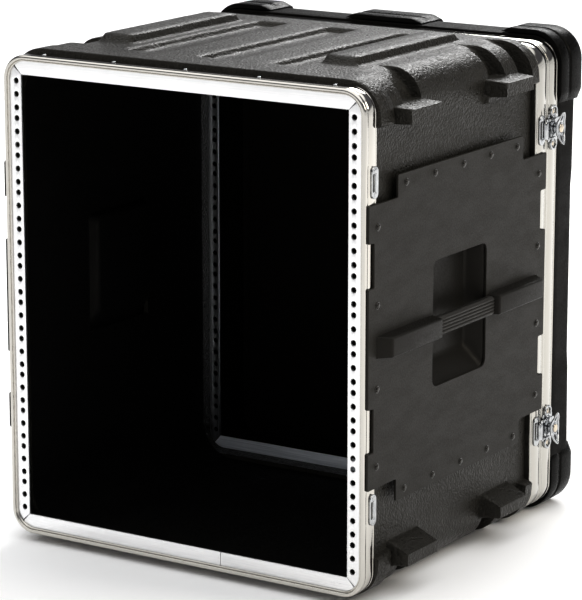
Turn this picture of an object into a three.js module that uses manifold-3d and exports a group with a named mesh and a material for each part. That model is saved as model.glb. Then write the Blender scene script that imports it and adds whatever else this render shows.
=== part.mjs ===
// A 12-unit rack case for professional audio gear: a moulded shell with an aluminium
// valance round each open end, rack rails front and rear, a reinforcing plate and a
// recessed pull-out handle on each side, and a rear lid held by four twist latches.
// Millimetres. X runs across the case, +Y towards the rear lid and +Z up. The origin
// is the centre of the base, on the surface that the case stands on.
import * as THREE from "three";
import { mergeVertices } from "three/addons/utils/BufferGeometryUtils.js";
import Module from "manifold-3d";

const wasm = await Module();
wasm.setup();

// ---- driving dimensions ----
const GAP = 0.3; // clearance between pieces that touch
const FAR = 320; // half size of a cutting box that reaches past the whole case
const RACK_UNITS = 12;
const UNIT_HEIGHT = 44.45;
const HOLE_OFFSETS = [6.35, 22.225, 38.1]; // the three holes in one rack unit, from its lower edge
const HOLE_COLUMN = 465.1 / 2; // distance of a hole column from the middle plane
const HOLE_RADIUS = 3.5;

const BASE_TO_RACK = 35; // from the floor to the bottom of the rack space
const RACK_HEIGHT = RACK_UNITS * UNIT_HEIGHT;
const MIDDLE_Z = BASE_TO_RACK + RACK_HEIGHT / 2;

const OPEN_X = 225.4; // half width of the rack opening
const OPEN_Z = 268.2; // half height of the rack opening
const FRAME_X = 249.3; // half width over the valance
const FRAME_Z = 291.6; // half height over the valance
const FRAME_R = 30; // corner radius of the valance
const SHEET = 2.2; // wall of the aluminium valance

const RAIL_FACE_Y = -248.5; // front face of the front rack rails
const LIP_Y = RAIL_FACE_Y - 4; // front face of the valance lip
const FRONT_BAND_Y = RAIL_FACE_Y + 20; // rear edge of the front valance
const REAR_BAND_Y = RAIL_FACE_Y + 387.5; // front edge of the rear valance
const SEAM_Y = RAIL_FACE_Y + 415.5; // where the lid meets the body
const LID_BAND_Y = RAIL_FACE_Y + 440.8; // rear edge of the lid valance
const LID_BACK_Y = RAIL_FACE_Y + 497;
const BUMPER_BACK_Y = RAIL_FACE_Y + 501;

const RAIL_THICK = 2.7;
const RAIL_LEG = 14.5; // depth of the leg that lies against the valance
const REAR_RAIL_Y = SEAM_Y - 1.6 - RAIL_THICK; // front face of the rear rails

const SHELL_X = 242; // half width of the shell's flat side
const SHELL_Z = 297.6; // half height over the shell
const SHELL_R = 38;
const CAVITY_X = 235.7;
const CAVITY_Z = 288.5;
const CAVITY_R = 46;
const MOUTH_Z = 282; // half height inside the shell's two ends
const MOUTH_R = 40;

const PLATE_X = FRAME_X + GAP; // inner face of the side plate
const PLATE_THICK = 3;
const CUP = { y0: -107.5, y1: 16.5, z0: -73.5, z1: 75.5, depth: 26 }; // opening in the side plate
const CUP_WALL = 2;
const HANDLE_OUT = 268.3; // outer face of the handle caps
const HANDLE_HEIGHT = 25.5;
const GRIP_OUT = 263.3;

const LATCH_Y = RAIL_FACE_Y + 428;
const LATCH_Z = 187.5; // latch height above and below the middle
const KEEPER_FRONT_Y = RAIL_FACE_Y + 13.5;
const KEEPER_REAR_Y = RAIL_FACE_Y + 400;

// ---- colours and finishes ----
const CORNER_STEPS = 4; // straight steps in each rounded corner
const finishes = {
  plastic: { color: 0x2b2a27, roughness: 0.62, metalness: 0 },
  plate: { color: 0x2f2e2b, roughness: 0.5, metalness: 0 },
  rubber: { color: 0x1c1c1b, roughness: 0.8, metalness: 0 },
  aluminium: { color: 0xd9d8d4, roughness: 0.35, metalness: 1 },
  zinc: { color: 0xc7c7c3, roughness: 0.3, metalness: 1 },
};

const part = new THREE.Group();

// ---- solids ----
function solid(geometry) {
  const g = geometry.clone();
  g.deleteAttribute("normal");
  g.deleteAttribute("uv");
  const merged = mergeVertices(g, 1e-4);
  return new wasm.Manifold(
    new wasm.Mesh({
      numProp: 3,
      vertProperties: new Float32Array(merged.attributes.position.array),
      triVerts: new Uint32Array(merged.index.array),
    }),
  );
}

function add(name, finish, body) {
  const mesh = body.getMesh();
  const geometry = new THREE.BufferGeometry()
    .setAttribute("position", new THREE.BufferAttribute(mesh.vertProperties, 3))
    .setIndex(new THREE.BufferAttribute(mesh.triVerts, 1));
  const item = new THREE.Mesh(geometry, new THREE.MeshStandardMaterial(finishes[finish]));
  item.name = name;
  part.add(item);
}

// Boxes are given by their low and high corners, with z counted from the middle of the rack.
function box(x0, x1, y0, y1, z0, z1) {
  const g = new THREE.BoxGeometry(x1 - x0, y1 - y0, z1 - z0);
  g.translate((x0 + x1) / 2, (y0 + y1) / 2, MIDDLE_Z + (z0 + z1) / 2);
  return solid(g);
}

const bothSides = [
  ["left", -1],
  ["right", 1],
];

function mirrored(body, sign) {
  return sign > 0 ? body : body.mirror([1, 0, 0]);
}

function outline(points) {
  return new THREE.Shape(points.map(([a, b]) => new THREE.Vector2(a, b)));
}

function roundedRect(halfW, halfH, r) {
  const s = new THREE.Shape();
  s.absarc(halfW - r, halfH - r, r, 0, Math.PI / 2);
  s.absarc(-halfW + r, halfH - r, r, Math.PI / 2, Math.PI);
  s.absarc(-halfW + r, -halfH + r, r, Math.PI, 1.5 * Math.PI);
  s.absarc(halfW - r, -halfH + r, r, 1.5 * Math.PI, 2 * Math.PI);
  s.closePath();
  return s;
}

// A shape drawn across the case (x, z from the middle), extruded from y0 to y1.
function alongY(shape, y0, y1, bevel = 0) {
  const g = new THREE.ExtrudeGeometry(shape, {
    depth: y1 - y0 - 2 * bevel,
    curveSegments: CORNER_STEPS,
    bevelEnabled: bevel > 0,
    bevelThickness: bevel,
    bevelSize: bevel,
    bevelOffset: -bevel,
    bevelSegments: 2,
  });
  g.translate(0, 0, bevel);
  g.rotateX(Math.PI / 2);
  g.translate(0, y1, MIDDLE_Z);
  return solid(g);
}

// A shape drawn on the side (y, z from the middle), extruded from x0 to x1.
function alongX(shape, x0, x1, segments = 4) {
  const g = new THREE.ExtrudeGeometry(shape, {
    depth: x1 - x0,
    curveSegments: segments,
    bevelEnabled: false,
  });
  const toSide = new THREE.Matrix4().makeBasis(
    new THREE.Vector3(0, 1, 0),
    new THREE.Vector3(0, 0, 1),
    new THREE.Vector3(1, 0, 0),
  );
  g.applyMatrix4(toSide);
  g.translate(x0, 0, MIDDLE_Z);
  return solid(g);
}

// A round bar along X, centred at (y, z from the middle).
function roundX(radius, x0, x1, y, z, sides = 12) {
  const g = new THREE.CylinderGeometry(radius, radius, x1 - x0, sides);
  g.rotateZ(Math.PI / 2);
  g.translate((x0 + x1) / 2, y, MIDDLE_Z + z);
  return solid(g);
}

// A shape drawn on the side, in the middle of (y, z), with half-round ends top and bottom.
function slotShape(halfW, halfH, y, z) {
  const s = new THREE.Shape();
  s.absarc(y, z + halfH - halfW, halfW, 0, Math.PI);
  s.absarc(y, z - halfH + halfW, halfW, Math.PI, 2 * Math.PI);
  s.closePath();
  return s;
}

// A bar with sloped ends and sides: the base outline (x, y) shrinks by `slope` at the top.
function taperedBar(x0, x1, y0, y1, z0, z1, slope) {
  const g = new THREE.BoxGeometry(x1 - x0, y1 - y0, Math.abs(z1 - z0));
  const p = g.attributes.position;
  const outward = Math.sign(z1 - z0);
  for (let i = 0; i < p.count; i++) {
    if (p.getZ(i) * outward < 0) continue;
    p.setX(i, p.getX(i) - Math.sign(p.getX(i)) * slope);
    p.setY(i, p.getY(i) - Math.sign(p.getY(i)) * slope);
  }
  g.translate((x0 + x1) / 2, (y0 + y1) / 2, MIDDLE_Z + (z0 + z1) / 2);
  return solid(g);
}

// ---- body shell ----
const BODY_Y0 = FRONT_BAND_Y + GAP;
const BODY_Y1 = REAR_BAND_Y - GAP;
const FLANGE_X = FRAME_X - SHEET - GAP; // outline that fits inside the valance
const FLANGE_Z = FRAME_Z - SHEET - GAP;
const FLANGE_R = FRAME_R - SHEET - GAP;
const SPIGOT_IN = RAIL_THICK + GAP; // the shell's ends lie inside the rails' legs

const COLLAR_X = 254; // raised corner collars at both ends
const COLLAR_R = 44;
const COLLAR_DROP = 50; // how far a collar comes down the side from the top
const BLOCK_X = 270; // outer face of the side blocks
const BLOCK_Z0 = 247;
const BLOCK_Z1 = 263;
const CHANNEL_X = 234; // side of the corner channels' floor
const CHANNEL_R = 52;
const CHANNEL_TO_Z = 250; // the channels stop at the blocks

// Corner features along each long edge, front to rear, as distances behind the rail face.
const collars = [
  [20 + GAP, 51],
  [368, 387.5 - GAP],
];
const bands = [
  [51, 80],
  [312, 345],
];
const channels = [
  [80, 127],
  [285, 312],
  [345, 368],
];
const blocks = [
  [60, 127],
  [277, 342],
];
const BAND_X = 249;

const RIB_TOP = 9; // raised bars stand this far above the top
const RIB_BASE = 35 - (SHELL_Z - RACK_HEIGHT / 2); // runners under the base reach the floor
const RIB_Y0 = RAIL_FACE_Y + 104;
const RIB_Y1 = RAIL_FACE_Y + 344;
const RIB_SLOPE = 4;
const topBars = [
  [-187, -147],
  [126, 166],
];
const grooves = [-100, 0, 100];
const GROOVE_HALF = 17;
const GROOVE_DEPTH = 5.5;

const CORNER_FROM_X = 185; // the raised rings and channels keep outside this |x|

// The four long corners of the case, outside CORNER_FROM_X and beyond |z| of zFrom.
function corners(y0, y1, zFrom) {
  const pieces = [];
  for (const sx of [-1, 1]) {
    for (const sz of [-1, 1]) {
      const xs = [sx * CORNER_FROM_X, sx * FAR].sort((a, b) => a - b);
      const zs = [sz * zFrom, sz * FAR].sort((a, b) => a - b);
      pieces.push(box(xs[0], xs[1], y0, y1, zs[0], zs[1]));
    }
  }
  return pieces;
}

function bodyShell() {
  let body = alongY(roundedRect(SHELL_X, SHELL_Z, SHELL_R), BODY_Y0, BODY_Y1);
  const spigot = roundedRect(
    FLANGE_X - SPIGOT_IN,
    FLANGE_Z - SPIGOT_IN,
    FLANGE_R - SPIGOT_IN,
  );
  body = body.add(alongY(spigot, RAIL_FACE_Y + RAIL_THICK + GAP, BODY_Y0 + 4));
  body = body.add(alongY(spigot, BODY_Y1 - 4, REAR_RAIL_Y - GAP));
  const rings = [
    ...collars.map((range) => [COLLAR_X, ...range]),
    ...bands.map((range) => [BAND_X, ...range]),
  ];
  for (const [halfX, a, b] of rings) {
    const ring = alongY(
      roundedRect(halfX, SHELL_Z, COLLAR_R),
      RAIL_FACE_Y + a,
      RAIL_FACE_Y + b,
    );
    const drop = SHELL_Z - COLLAR_DROP;
    for (const c of corners(RAIL_FACE_Y + a, RAIL_FACE_Y + b, drop)) {
      body = body.add(ring.intersect(c));
    }
  }
  for (const [a, b] of channels) {
    const y0 = RAIL_FACE_Y + a;
    const y1 = RAIL_FACE_Y + b;
    const floor = alongY(roundedRect(CHANNEL_X, SHELL_Z, CHANNEL_R), y0 - 1, y1 + 1);
    for (const c of corners(y0, y1, CHANNEL_TO_Z)) body = body.subtract(c.subtract(floor));
  }
  for (const [a, b] of blocks) {
    for (const [, side] of bothSides) {
      for (const up of [-1, 1]) {
        const xs = [side * (CHANNEL_X - 4), side * BLOCK_X].sort((p, q) => p - q);
        const zs = [up * BLOCK_Z0, up * BLOCK_Z1].sort((p, q) => p - q);
        body = body.add(
          box(xs[0], xs[1], RAIL_FACE_Y + a, RAIL_FACE_Y + b, zs[0], zs[1]),
        );
      }
    }
  }
  for (const [x0, x1] of topBars) {
    body = body.add(
      taperedBar(x0, x1, RIB_Y0, RIB_Y1, SHELL_Z - 1, SHELL_Z + RIB_TOP, RIB_SLOPE),
    );
    body = body.add(
      taperedBar(x0, x1, RIB_Y0, RIB_Y1, -SHELL_Z + 1, -SHELL_Z - RIB_BASE, RIB_SLOPE),
    );
  }
  for (const x of grooves) {
    const g = GROOVE_HALF + RIB_SLOPE;
    body = body.subtract(
      taperedBar(
        x - g,
        x + g,
        RAIL_FACE_Y + 68,
        RAIL_FACE_Y + 350,
        SHELL_Z + 0.01,
        SHELL_Z - GROOVE_DEPTH,
        RIB_SLOPE,
      ),
    );
  }
  const cavity = roundedRect(CAVITY_X, CAVITY_Z, CAVITY_R);
  const mouth = roundedRect(CAVITY_X, MOUTH_Z, MOUTH_R);
  body = body.subtract(alongY(cavity, BODY_Y0 + 10, BODY_Y1 - 10));
  body = body.subtract(alongY(mouth, RAIL_FACE_Y - 20, SEAM_Y + 20));
  const cupHole = box(
    SHELL_X - 20,
    SHELL_X + 20,
    CUP.y0 - CUP_WALL - GAP,
    CUP.y1 + CUP_WALL + GAP,
    CUP.z0 - CUP_WALL - GAP,
    CUP.z1 + CUP_WALL + GAP,
  );
  return body.subtract(cupHole).subtract(cupHole.mirror([1, 0, 0]));
}
add("body_shell", "plastic", bodyShell());

// ---- valances ----
const valanceOuter = roundedRect(FRAME_X, FRAME_Z, FRAME_R);
const valanceInner = roundedRect(FRAME_X - SHEET, FRAME_Z - SHEET, FRAME_R - SHEET);

function band(y0, y1) {
  return alongY(valanceOuter, y0, y1).subtract(alongY(valanceInner, y0 - 1, y1 + 1));
}

const LIP_IN = 7.3; // the lip leaves room for a 19 inch panel between its sides
const BEAD_IN = 4.8; // width of the proud outer bead of the lip
function frontValance() {
  const cover = alongY(valanceOuter, LIP_Y, RAIL_FACE_Y - GAP);
  const opening = roundedRect(FRAME_X - LIP_IN, FRAME_Z - LIP_IN, FRAME_R - LIP_IN);
  const step = roundedRect(FRAME_X - BEAD_IN, FRAME_Z - BEAD_IN, FRAME_R - BEAD_IN);
  return band(LIP_Y + 1, FRONT_BAND_Y)
    .add(cover)
    .subtract(alongY(opening, LIP_Y - 1, RAIL_FACE_Y + 1))
    .subtract(alongY(step, LIP_Y - 1, LIP_Y + 1.6));
}
add("front_valance", "aluminium", frontValance());
add("rear_valance", "aluminium", band(REAR_BAND_Y, SEAM_Y - 0.2));

// ---- rack rails and sills ----
const MITRE = FLANGE_X - OPEN_X;
const LEG_Z = FLANGE_Z - FLANGE_R - 3; // half length of a rail's leg
const LEG_X = FLANGE_X - FLANGE_R - 3; // half length of a sill's leg

function railFlange(y0) {
  const plate = alongX(
    outline([
      [y0, -FLANGE_Z],
      [y0 + RAIL_THICK, -FLANGE_Z],
      [y0 + RAIL_THICK, FLANGE_Z],
      [y0, FLANGE_Z],
    ]),
    OPEN_X,
    FLANGE_X,
  );
  const halfEnd = OPEN_Z - GAP;
  const mitred = outline([
    [OPEN_X - 1, -halfEnd + 1],
    [FLANGE_X + 1, -halfEnd - MITRE - 1],
    [FLANGE_X + 1, halfEnd + MITRE + 1],
    [OPEN_X - 1, halfEnd - 1],
  ]);
  const rounded = alongY(roundedRect(FLANGE_X, FLANGE_Z, FLANGE_R), y0 - 1, y0 + 4);
  return plate.intersect(alongY(mitred, y0 - 1, y0 + 4)).intersect(rounded);
}

function rail(y0, legDirection) {
  const legY = legDirection > 0 ? y0 : y0 + RAIL_THICK - RAIL_LEG;
  const leg = box(FLANGE_X - RAIL_THICK, FLANGE_X, legY, legY + RAIL_LEG, -LEG_Z, LEG_Z);
  let body = railFlange(y0).add(leg);
  for (let unit = 0; unit < RACK_UNITS; unit++) {
    for (const offset of HOLE_OFFSETS) {
      const drill = new THREE.CylinderGeometry(HOLE_RADIUS, HOLE_RADIUS, 8, 6);
      drill.translate(HOLE_COLUMN, y0, BASE_TO_RACK + unit * UNIT_HEIGHT + offset);
      body = body.subtract(solid(drill));
    }
  }
  return body;
}

for (const [side, sign] of bothSides) {
  add(`front_rail_${side}`, "aluminium", mirrored(rail(RAIL_FACE_Y, 1), sign));
  add(`rear_rail_${side}`, "aluminium", mirrored(rail(REAR_RAIL_Y, -1), sign));
}

// A sill closes the top or the base of the frame between the mitres, from xFrom to xTo.
function sill(y0, legDirection, up, xFrom, xTo) {
  const full = outline([
    [-OPEN_X + GAP, OPEN_Z],
    [OPEN_X - GAP, OPEN_Z],
    [OPEN_X - GAP + MITRE, OPEN_Z + MITRE],
    [-OPEN_X + GAP - MITRE, OPEN_Z + MITRE],
  ]);
  const rounded = alongY(roundedRect(FLANGE_X, FLANGE_Z, FLANGE_R), y0 - 1, y0 + 4);
  const legY = legDirection > 0 ? y0 : y0 + RAIL_THICK - RAIL_LEG;
  const leg = box(-LEG_X, LEG_X, legY, legY + RAIL_LEG, FLANGE_Z - RAIL_THICK, FLANGE_Z);
  const plate = alongY(full, y0, y0 + RAIL_THICK).intersect(rounded).add(leg);
  const cut = plate.intersect(box(xFrom, xTo, y0 - 20, y0 + 20, 0, FAR));
  return up ? cut : cut.mirror([0, 0, 1]).translate([0, 0, 2 * MIDDLE_Z]);
}
add("front_sill_top", "aluminium", sill(RAIL_FACE_Y, 1, true, -FAR, FAR));
const SEAM_X = 52.4; // where the two parts of the lower front sill meet
add("front_sill_bottom_left", "aluminium", sill(RAIL_FACE_Y, 1, false, -FAR, SEAM_X - GAP / 2));
add("front_sill_bottom_right", "aluminium", sill(RAIL_FACE_Y, 1, false, SEAM_X + GAP / 2, FAR));
add("rear_sill_top", "aluminium", sill(REAR_RAIL_Y, -1, true, -FAR, FAR));
add("rear_sill_bottom", "aluminium", sill(REAR_RAIL_Y, -1, false, -FAR, FAR));

// ---- side plates ----
// Half of the plate's outline above the middle, from the front edge to the rear edge.
const plateTopHalf = [
  [-1, 0],
  [-1, 69],
  [11, 69],
  [11, 120],
  [-1, 120],
  [-1, 163],
  [61, 163],
  [61, 189],
  [351, 189],
  [351, 160],
  [410, 160],
  [410, 115],
  [397, 115],
  [397, 66],
  [410, 66],
  [410, 0],
].map(([d, z]) => [RAIL_FACE_Y + d, z]);
const plateOutline = outline([
  ...plateTopHalf,
  ...plateTopHalf.map(([y, z]) => [y, -z]).reverse().slice(1, -1),
]);

function cupShape(grow) {
  const r = 8 + grow;
  const s = new THREE.Shape();
  const [y0, y1, z0, z1] = [CUP.y0 - grow, CUP.y1 + grow, CUP.z0 - grow, CUP.z1 + grow];
  s.absarc(y1 - r, z1 - r, r, 0, Math.PI / 2);
  s.absarc(y0 + r, z1 - r, r, Math.PI / 2, Math.PI);
  s.absarc(y0 + r, z0 + r, r, Math.PI, 1.5 * Math.PI);
  s.absarc(y1 - r, z0 + r, r, 1.5 * Math.PI, 2 * Math.PI);
  s.closePath();
  return s;
}

const sidePlate = alongX(plateOutline, PLATE_X, PLATE_X + PLATE_THICK).subtract(
  alongX(cupShape(0), PLATE_X - 1, PLATE_X + 5, 3),
);

// ---- handle ----
const PLATE_OUT = PLATE_X + PLATE_THICK;
const CUP_FLOOR_X = PLATE_OUT - CUP.depth;

function handleCup() {
  const outer = alongX(cupShape(CUP_WALL), CUP_FLOOR_X - CUP_WALL, PLATE_X - GAP, 3);
  const flange = alongX(cupShape(14), SHELL_X + GAP, SHELL_X + GAP + 2, 3);
  const inside = alongX(cupShape(0), CUP_FLOOR_X, PLATE_X + 5, 3);
  return outer.add(flange).subtract(inside);
}

const CAP_IN_X = PLATE_OUT + GAP;
const CAP_WALL = 3;
const CAP_END_SLOPE = 10;
const CAP_FRONT_Y = RAIL_FACE_Y + 16.5;
const CAP_REAR_Y = RAIL_FACE_Y + 389;
const GRIP_Y0 = RAIL_FACE_Y + 140.3;
const GRIP_Y1 = RAIL_FACE_Y + 268.2;
const STRAP_LENGTH = 26;
const STRAP_THICK = 3;
const STRAP_HALF = 8;

// A cap seen from above: yEnd is its sloped outer end and yMouth the end that takes the strap.
function handleCap(yEnd, yMouth) {
  const inward = Math.sign(yMouth - yEnd);
  const plan = new THREE.Shape([
    new THREE.Vector2(CAP_IN_X, yEnd),
    new THREE.Vector2(HANDLE_OUT - 2, yEnd + inward * CAP_END_SLOPE),
    new THREE.Vector2(HANDLE_OUT, yEnd + inward * (CAP_END_SLOPE + 3)),
    new THREE.Vector2(HANDLE_OUT, yMouth),
    new THREE.Vector2(CAP_IN_X, yMouth),
  ]);
  const g = new THREE.ExtrudeGeometry(plan, { depth: HANDLE_HEIGHT, bevelEnabled: false });
  g.translate(0, 0, MIDDLE_Z - HANDLE_HEIGHT / 2);
  const pocketEnd = yMouth - inward * (STRAP_LENGTH + 4);
  const ys = [pocketEnd, yMouth + inward * 2].sort((a, b) => a - b);
  const pocketHalf = STRAP_HALF + 1.2;
  const pocket = box(CAP_IN_X - 1, HANDLE_OUT - CAP_WALL, ys[0], ys[1], -pocketHalf, pocketHalf);
  return solid(g).subtract(pocket);
}

const RIB_COUNT = 5;
function grip() {
  const x0 = CAP_IN_X + 0.2;
  const half = 11;
  const pitch = (2 * half) / RIB_COUNT;
  let body = box(x0, GRIP_OUT - 1.2, GRIP_Y0 + 0.5, GRIP_Y1 - 0.5, -half, half);
  for (let i = 0; i < RIB_COUNT; i++) {
    const mid = -half + pitch * (i + 0.5);
    const rib = box(GRIP_OUT - 2, GRIP_OUT, GRIP_Y0 + 3, GRIP_Y1 - 3, mid - 1.4, mid + 1.4);
    body = body.add(rib);
  }
  const strap = box(
    x0 + 0.6,
    x0 + 0.6 + STRAP_THICK,
    GRIP_Y0 - STRAP_LENGTH,
    GRIP_Y1 + STRAP_LENGTH,
    -STRAP_HALF,
    STRAP_HALF,
  );
  return body.add(strap);
}

for (const [side, sign] of bothSides) {
  add(`side_plate_${side}`, "plate", mirrored(sidePlate, sign));
  add(`handle_cup_${side}`, "plastic", mirrored(handleCup(), sign));
  add(`handle_cap_front_${side}`, "plastic", mirrored(handleCap(CAP_FRONT_Y, GRIP_Y0), sign));
  add(`handle_cap_rear_${side}`, "plastic", mirrored(handleCap(CAP_REAR_Y, GRIP_Y1), sign));
  add(`grip_${side}`, "rubber", mirrored(grip(), sign));
}

// ---- rear lid ----
const LID_X = 248;
const LID_Z = 294.6;
const LID_R = 34;
const LID_WALL = 5.5;
const LID_EDGE = 13; // rounding of the lid's back edge
const GASKET_Y0 = SEAM_Y - 1.3;
const GASKET_Y1 = SEAM_Y + 2.6;

function lidShell() {
  const outer = alongY(roundedRect(LID_X, LID_Z, LID_R), LID_BAND_Y - 40, LID_BACK_Y, LID_EDGE);
  const kept = outer.intersect(box(-FAR, FAR, LID_BAND_Y + GAP, LID_BACK_Y + 1, -FAR, FAR));
  const rim = alongY(
    roundedRect(FLANGE_X, FLANGE_Z, FLANGE_R),
    GASKET_Y1 + GAP,
    LID_BAND_Y + GAP + 4,
  );
  const inside = roundedRect(LID_X - 9.5, LID_Z - 12, LID_R - 6);
  return kept.add(rim).subtract(alongY(inside, SEAM_Y - 20, LID_BACK_Y - LID_WALL));
}
add("lid_shell", "plastic", lidShell());
add("lid_valance", "aluminium", band(SEAM_Y + 0.2, LID_BAND_Y));

const gasketRing = alongY(roundedRect(245.5, 287.5, 25), GASKET_Y0, GASKET_Y1).subtract(
  alongY(roundedRect(239.5, 284.6, 22), GASKET_Y0 - 1, GASKET_Y1 + 1),
);
add("lid_gasket", "rubber", gasketRing);

const BUMPER_X = 253.5;
const BUMPER_Z = MIDDLE_Z; // the lower bumpers reach the floor
const BUMPER_R = 40;
const BUMPER_Y0 = LID_BAND_Y + 2;
const BUMPER_TOP_LEG = 168; // inner end of a corner bumper on the top face
const UPPER_LEG = 214; // where an upper corner bumper ends on the side, from the middle
const LOWER_LEG = 224; // and a lower one, which is shorter
const MID_BUMPER_HALF = 55;

// The ring of lid edge that the bumpers are cut from, clear of the lid shell under it.
const bumperRing = (() => {
  const outer = alongY(
    roundedRect(BUMPER_X, BUMPER_Z, BUMPER_R),
    BUMPER_Y0,
    BUMPER_BACK_Y,
    6,
  );
  const lidForm = alongY(
    roundedRect(LID_X + GAP, LID_Z + GAP, LID_R),
    LID_BAND_Y - 40,
    LID_BACK_Y + GAP,
    LID_EDGE,
  );
  const core = alongY(roundedRect(LID_X - 40, LID_Z - 40, 20), LID_BAND_Y - 20, LID_BACK_Y + 30);
  return outer.subtract(lidForm).subtract(core);
})();

for (const [side, sign] of bothSides) {
  for (const [level, up, sideLeg] of [
    ["upper", 1, UPPER_LEG],
    ["lower", -1, LOWER_LEG],
  ]) {
    const topPart = box(BUMPER_TOP_LEG, FAR, BUMPER_Y0 - 1, FAR, sideLeg, FAR);
    const legPart = bumperRing.intersect(topPart);
    const raised = up > 0 ? legPart : legPart.mirror([0, 0, 1]).translate([0, 0, 2 * MIDDLE_Z]);
    add(`lid_bumper_${level}_${side}`, "plastic", mirrored(raised, sign));
  }
}
const midBox = box(-MID_BUMPER_HALF, MID_BUMPER_HALF, BUMPER_Y0 - 1, FAR, 200, FAR);
const midBumper = bumperRing.intersect(midBox);
add("lid_bumper_top_middle", "plastic", midBumper);
add(
  "lid_bumper_base_middle",
  "plastic",
  midBumper.mirror([0, 0, 1]).translate([0, 0, 2 * MIDDLE_Z]),
);

// ---- latches and keepers ----
const KEEPER_HALF_W = 6.5;
const KEEPER_HALF_H = 18.3;
const KEEPER_THICK = 2.2;

function keeper(y, z) {
  const x0 = FRAME_X + GAP;
  const oval = alongX(slotShape(KEEPER_HALF_W, KEEPER_HALF_H, y, z), x0, x0 + KEEPER_THICK, 4);
  return oval.subtract(box(x0 - 1, x0 + 4, y - 5, y - 0.5, z - 10, z + 10));
}

const BASE_HALF = { y: 12, z: 17 };
const EAR_R = 6.5;
const EAR_Z = 18.5;
const PIN_R = 3;
const BASE_X = FRAME_X + GAP;
const BASE_THICK = 1.6;
const HOOK_X = BASE_X + BASE_THICK + 1.4;
const HOOK_THICK = 2;
const HOOK_HALF = 12.5;
const HOOK_TRAVEL = 6;
const WING_X = 260;
const WING_THICK = 2;
const WING_HALF = { y: 13, z: 19.5 };

function latchBase(z) {
  const x1 = BASE_X + BASE_THICK;
  return box(
    BASE_X,
    x1,
    LATCH_Y - BASE_HALF.y,
    LATCH_Y + BASE_HALF.y,
    z - BASE_HALF.z,
    z + BASE_HALF.z,
  )
    .add(roundX(EAR_R, BASE_X, x1, LATCH_Y, z + EAR_Z))
    .add(roundX(EAR_R, BASE_X, x1, LATCH_Y, z - EAR_Z));
}

// The pin stands on the base plate, and its head holds the wing.
function latchPin(z) {
  const foot = BASE_X + BASE_THICK + GAP;
  return roundX(PIN_R, foot, WING_X + WING_THICK + 1.5, LATCH_Y, z).add(
    roundX(PIN_R + 2.2, WING_X + WING_THICK + GAP, WING_X + WING_THICK + 1.5, LATCH_Y, z),
  );
}

// The hook is a bent strip: a slotted flat round the pin, and a claw over the keeper.
function latchHook(z) {
  const tipY = KEEPER_REAR_Y - 3;
  const endY = LATCH_Y + 12;
  const clawX = FRAME_X + GAP + KEEPER_THICK + 1.2;
  const flat = box(HOOK_X, HOOK_X + HOOK_THICK, tipY + 9, endY, z - HOOK_HALF, z + HOOK_HALF);
  const claw = box(clawX, clawX + 5, tipY, tipY + 12, z - HOOK_HALF + 2, z + HOOK_HALF - 2);
  const hollow = box(clawX - 1, clawX + 3.2, tipY + 2, tipY + 8, z - HOOK_HALF, z + HOOK_HALF);
  const slotRadius = PIN_R + 0.8;
  const slot = box(
    HOOK_X - 1,
    HOOK_X + 8,
    LATCH_Y - slotRadius,
    LATCH_Y + slotRadius + HOOK_TRAVEL,
    z - slotRadius,
    z + slotRadius,
  );
  return flat.add(claw).subtract(hollow).subtract(slot);
}

function latchWing(z) {
  const oval = new THREE.Shape();
  oval.absellipse(LATCH_Y, z, WING_HALF.y, WING_HALF.z, 0, 2 * Math.PI, false, 0);
  const plate = alongX(oval, WING_X, WING_X + WING_THICK, 10);
  const hub = roundX(7, HOOK_X + HOOK_THICK + 0.6, WING_X + 0.5, LATCH_Y, z, 16);
  let body = plate.add(hub).subtract(roundX(PIN_R + 0.4, 250, 270, LATCH_Y, z));
  for (const up of [-1, 1]) body = body.subtract(roundX(2.6, 255, 270, LATCH_Y, z + up * 12.5, 8));
  return body;
}

for (const [side, sign] of bothSides) {
  for (const [level, up] of [
    ["upper", 1],
    ["lower", -1],
  ]) {
    const z = up * LATCH_Z;
    const where = `${level}_${side}`;
    add(`keeper_front_${where}`, "zinc", mirrored(keeper(KEEPER_FRONT_Y, z), sign));
    add(`keeper_rear_${where}`, "zinc", mirrored(keeper(KEEPER_REAR_Y, z), sign));
    add(`latch_base_${where}`, "zinc", mirrored(latchBase(z), sign));
    add(`latch_pin_${where}`, "zinc", mirrored(latchPin(z), sign));
    add(`latch_hook_${where}`, "zinc", mirrored(latchHook(z), sign));
    add(`latch_wing_${where}`, "zinc", mirrored(latchWing(z), sign));
  }
}

export default part;
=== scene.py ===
"""Looks of a 12-unit rack case: moulded shell, aluminium valances and rails, side plates
with recessed grips, and a rear lid held by four twist latches.

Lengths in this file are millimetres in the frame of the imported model, with z counted
from the middle of the rack space. build() turns them into metres.
"""

import math

import bmesh
import bpy
import numpy as np
from mathutils import Matrix, Vector


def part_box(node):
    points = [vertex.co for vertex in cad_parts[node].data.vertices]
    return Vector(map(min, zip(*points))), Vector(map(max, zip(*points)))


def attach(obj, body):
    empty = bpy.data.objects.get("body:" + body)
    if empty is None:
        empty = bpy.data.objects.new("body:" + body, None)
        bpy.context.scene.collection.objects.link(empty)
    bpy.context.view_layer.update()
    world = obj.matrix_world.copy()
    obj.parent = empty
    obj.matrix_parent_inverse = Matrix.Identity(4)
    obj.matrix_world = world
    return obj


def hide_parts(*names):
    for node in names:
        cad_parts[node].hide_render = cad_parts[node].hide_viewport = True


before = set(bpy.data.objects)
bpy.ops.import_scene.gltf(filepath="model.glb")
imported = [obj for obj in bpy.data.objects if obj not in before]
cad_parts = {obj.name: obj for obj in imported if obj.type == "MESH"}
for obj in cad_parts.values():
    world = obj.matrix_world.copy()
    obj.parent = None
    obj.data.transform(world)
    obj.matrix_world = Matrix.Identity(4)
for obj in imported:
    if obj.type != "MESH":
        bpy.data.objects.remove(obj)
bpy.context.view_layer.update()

MM = 0.001
valance_low, valance_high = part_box("front_valance")
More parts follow.
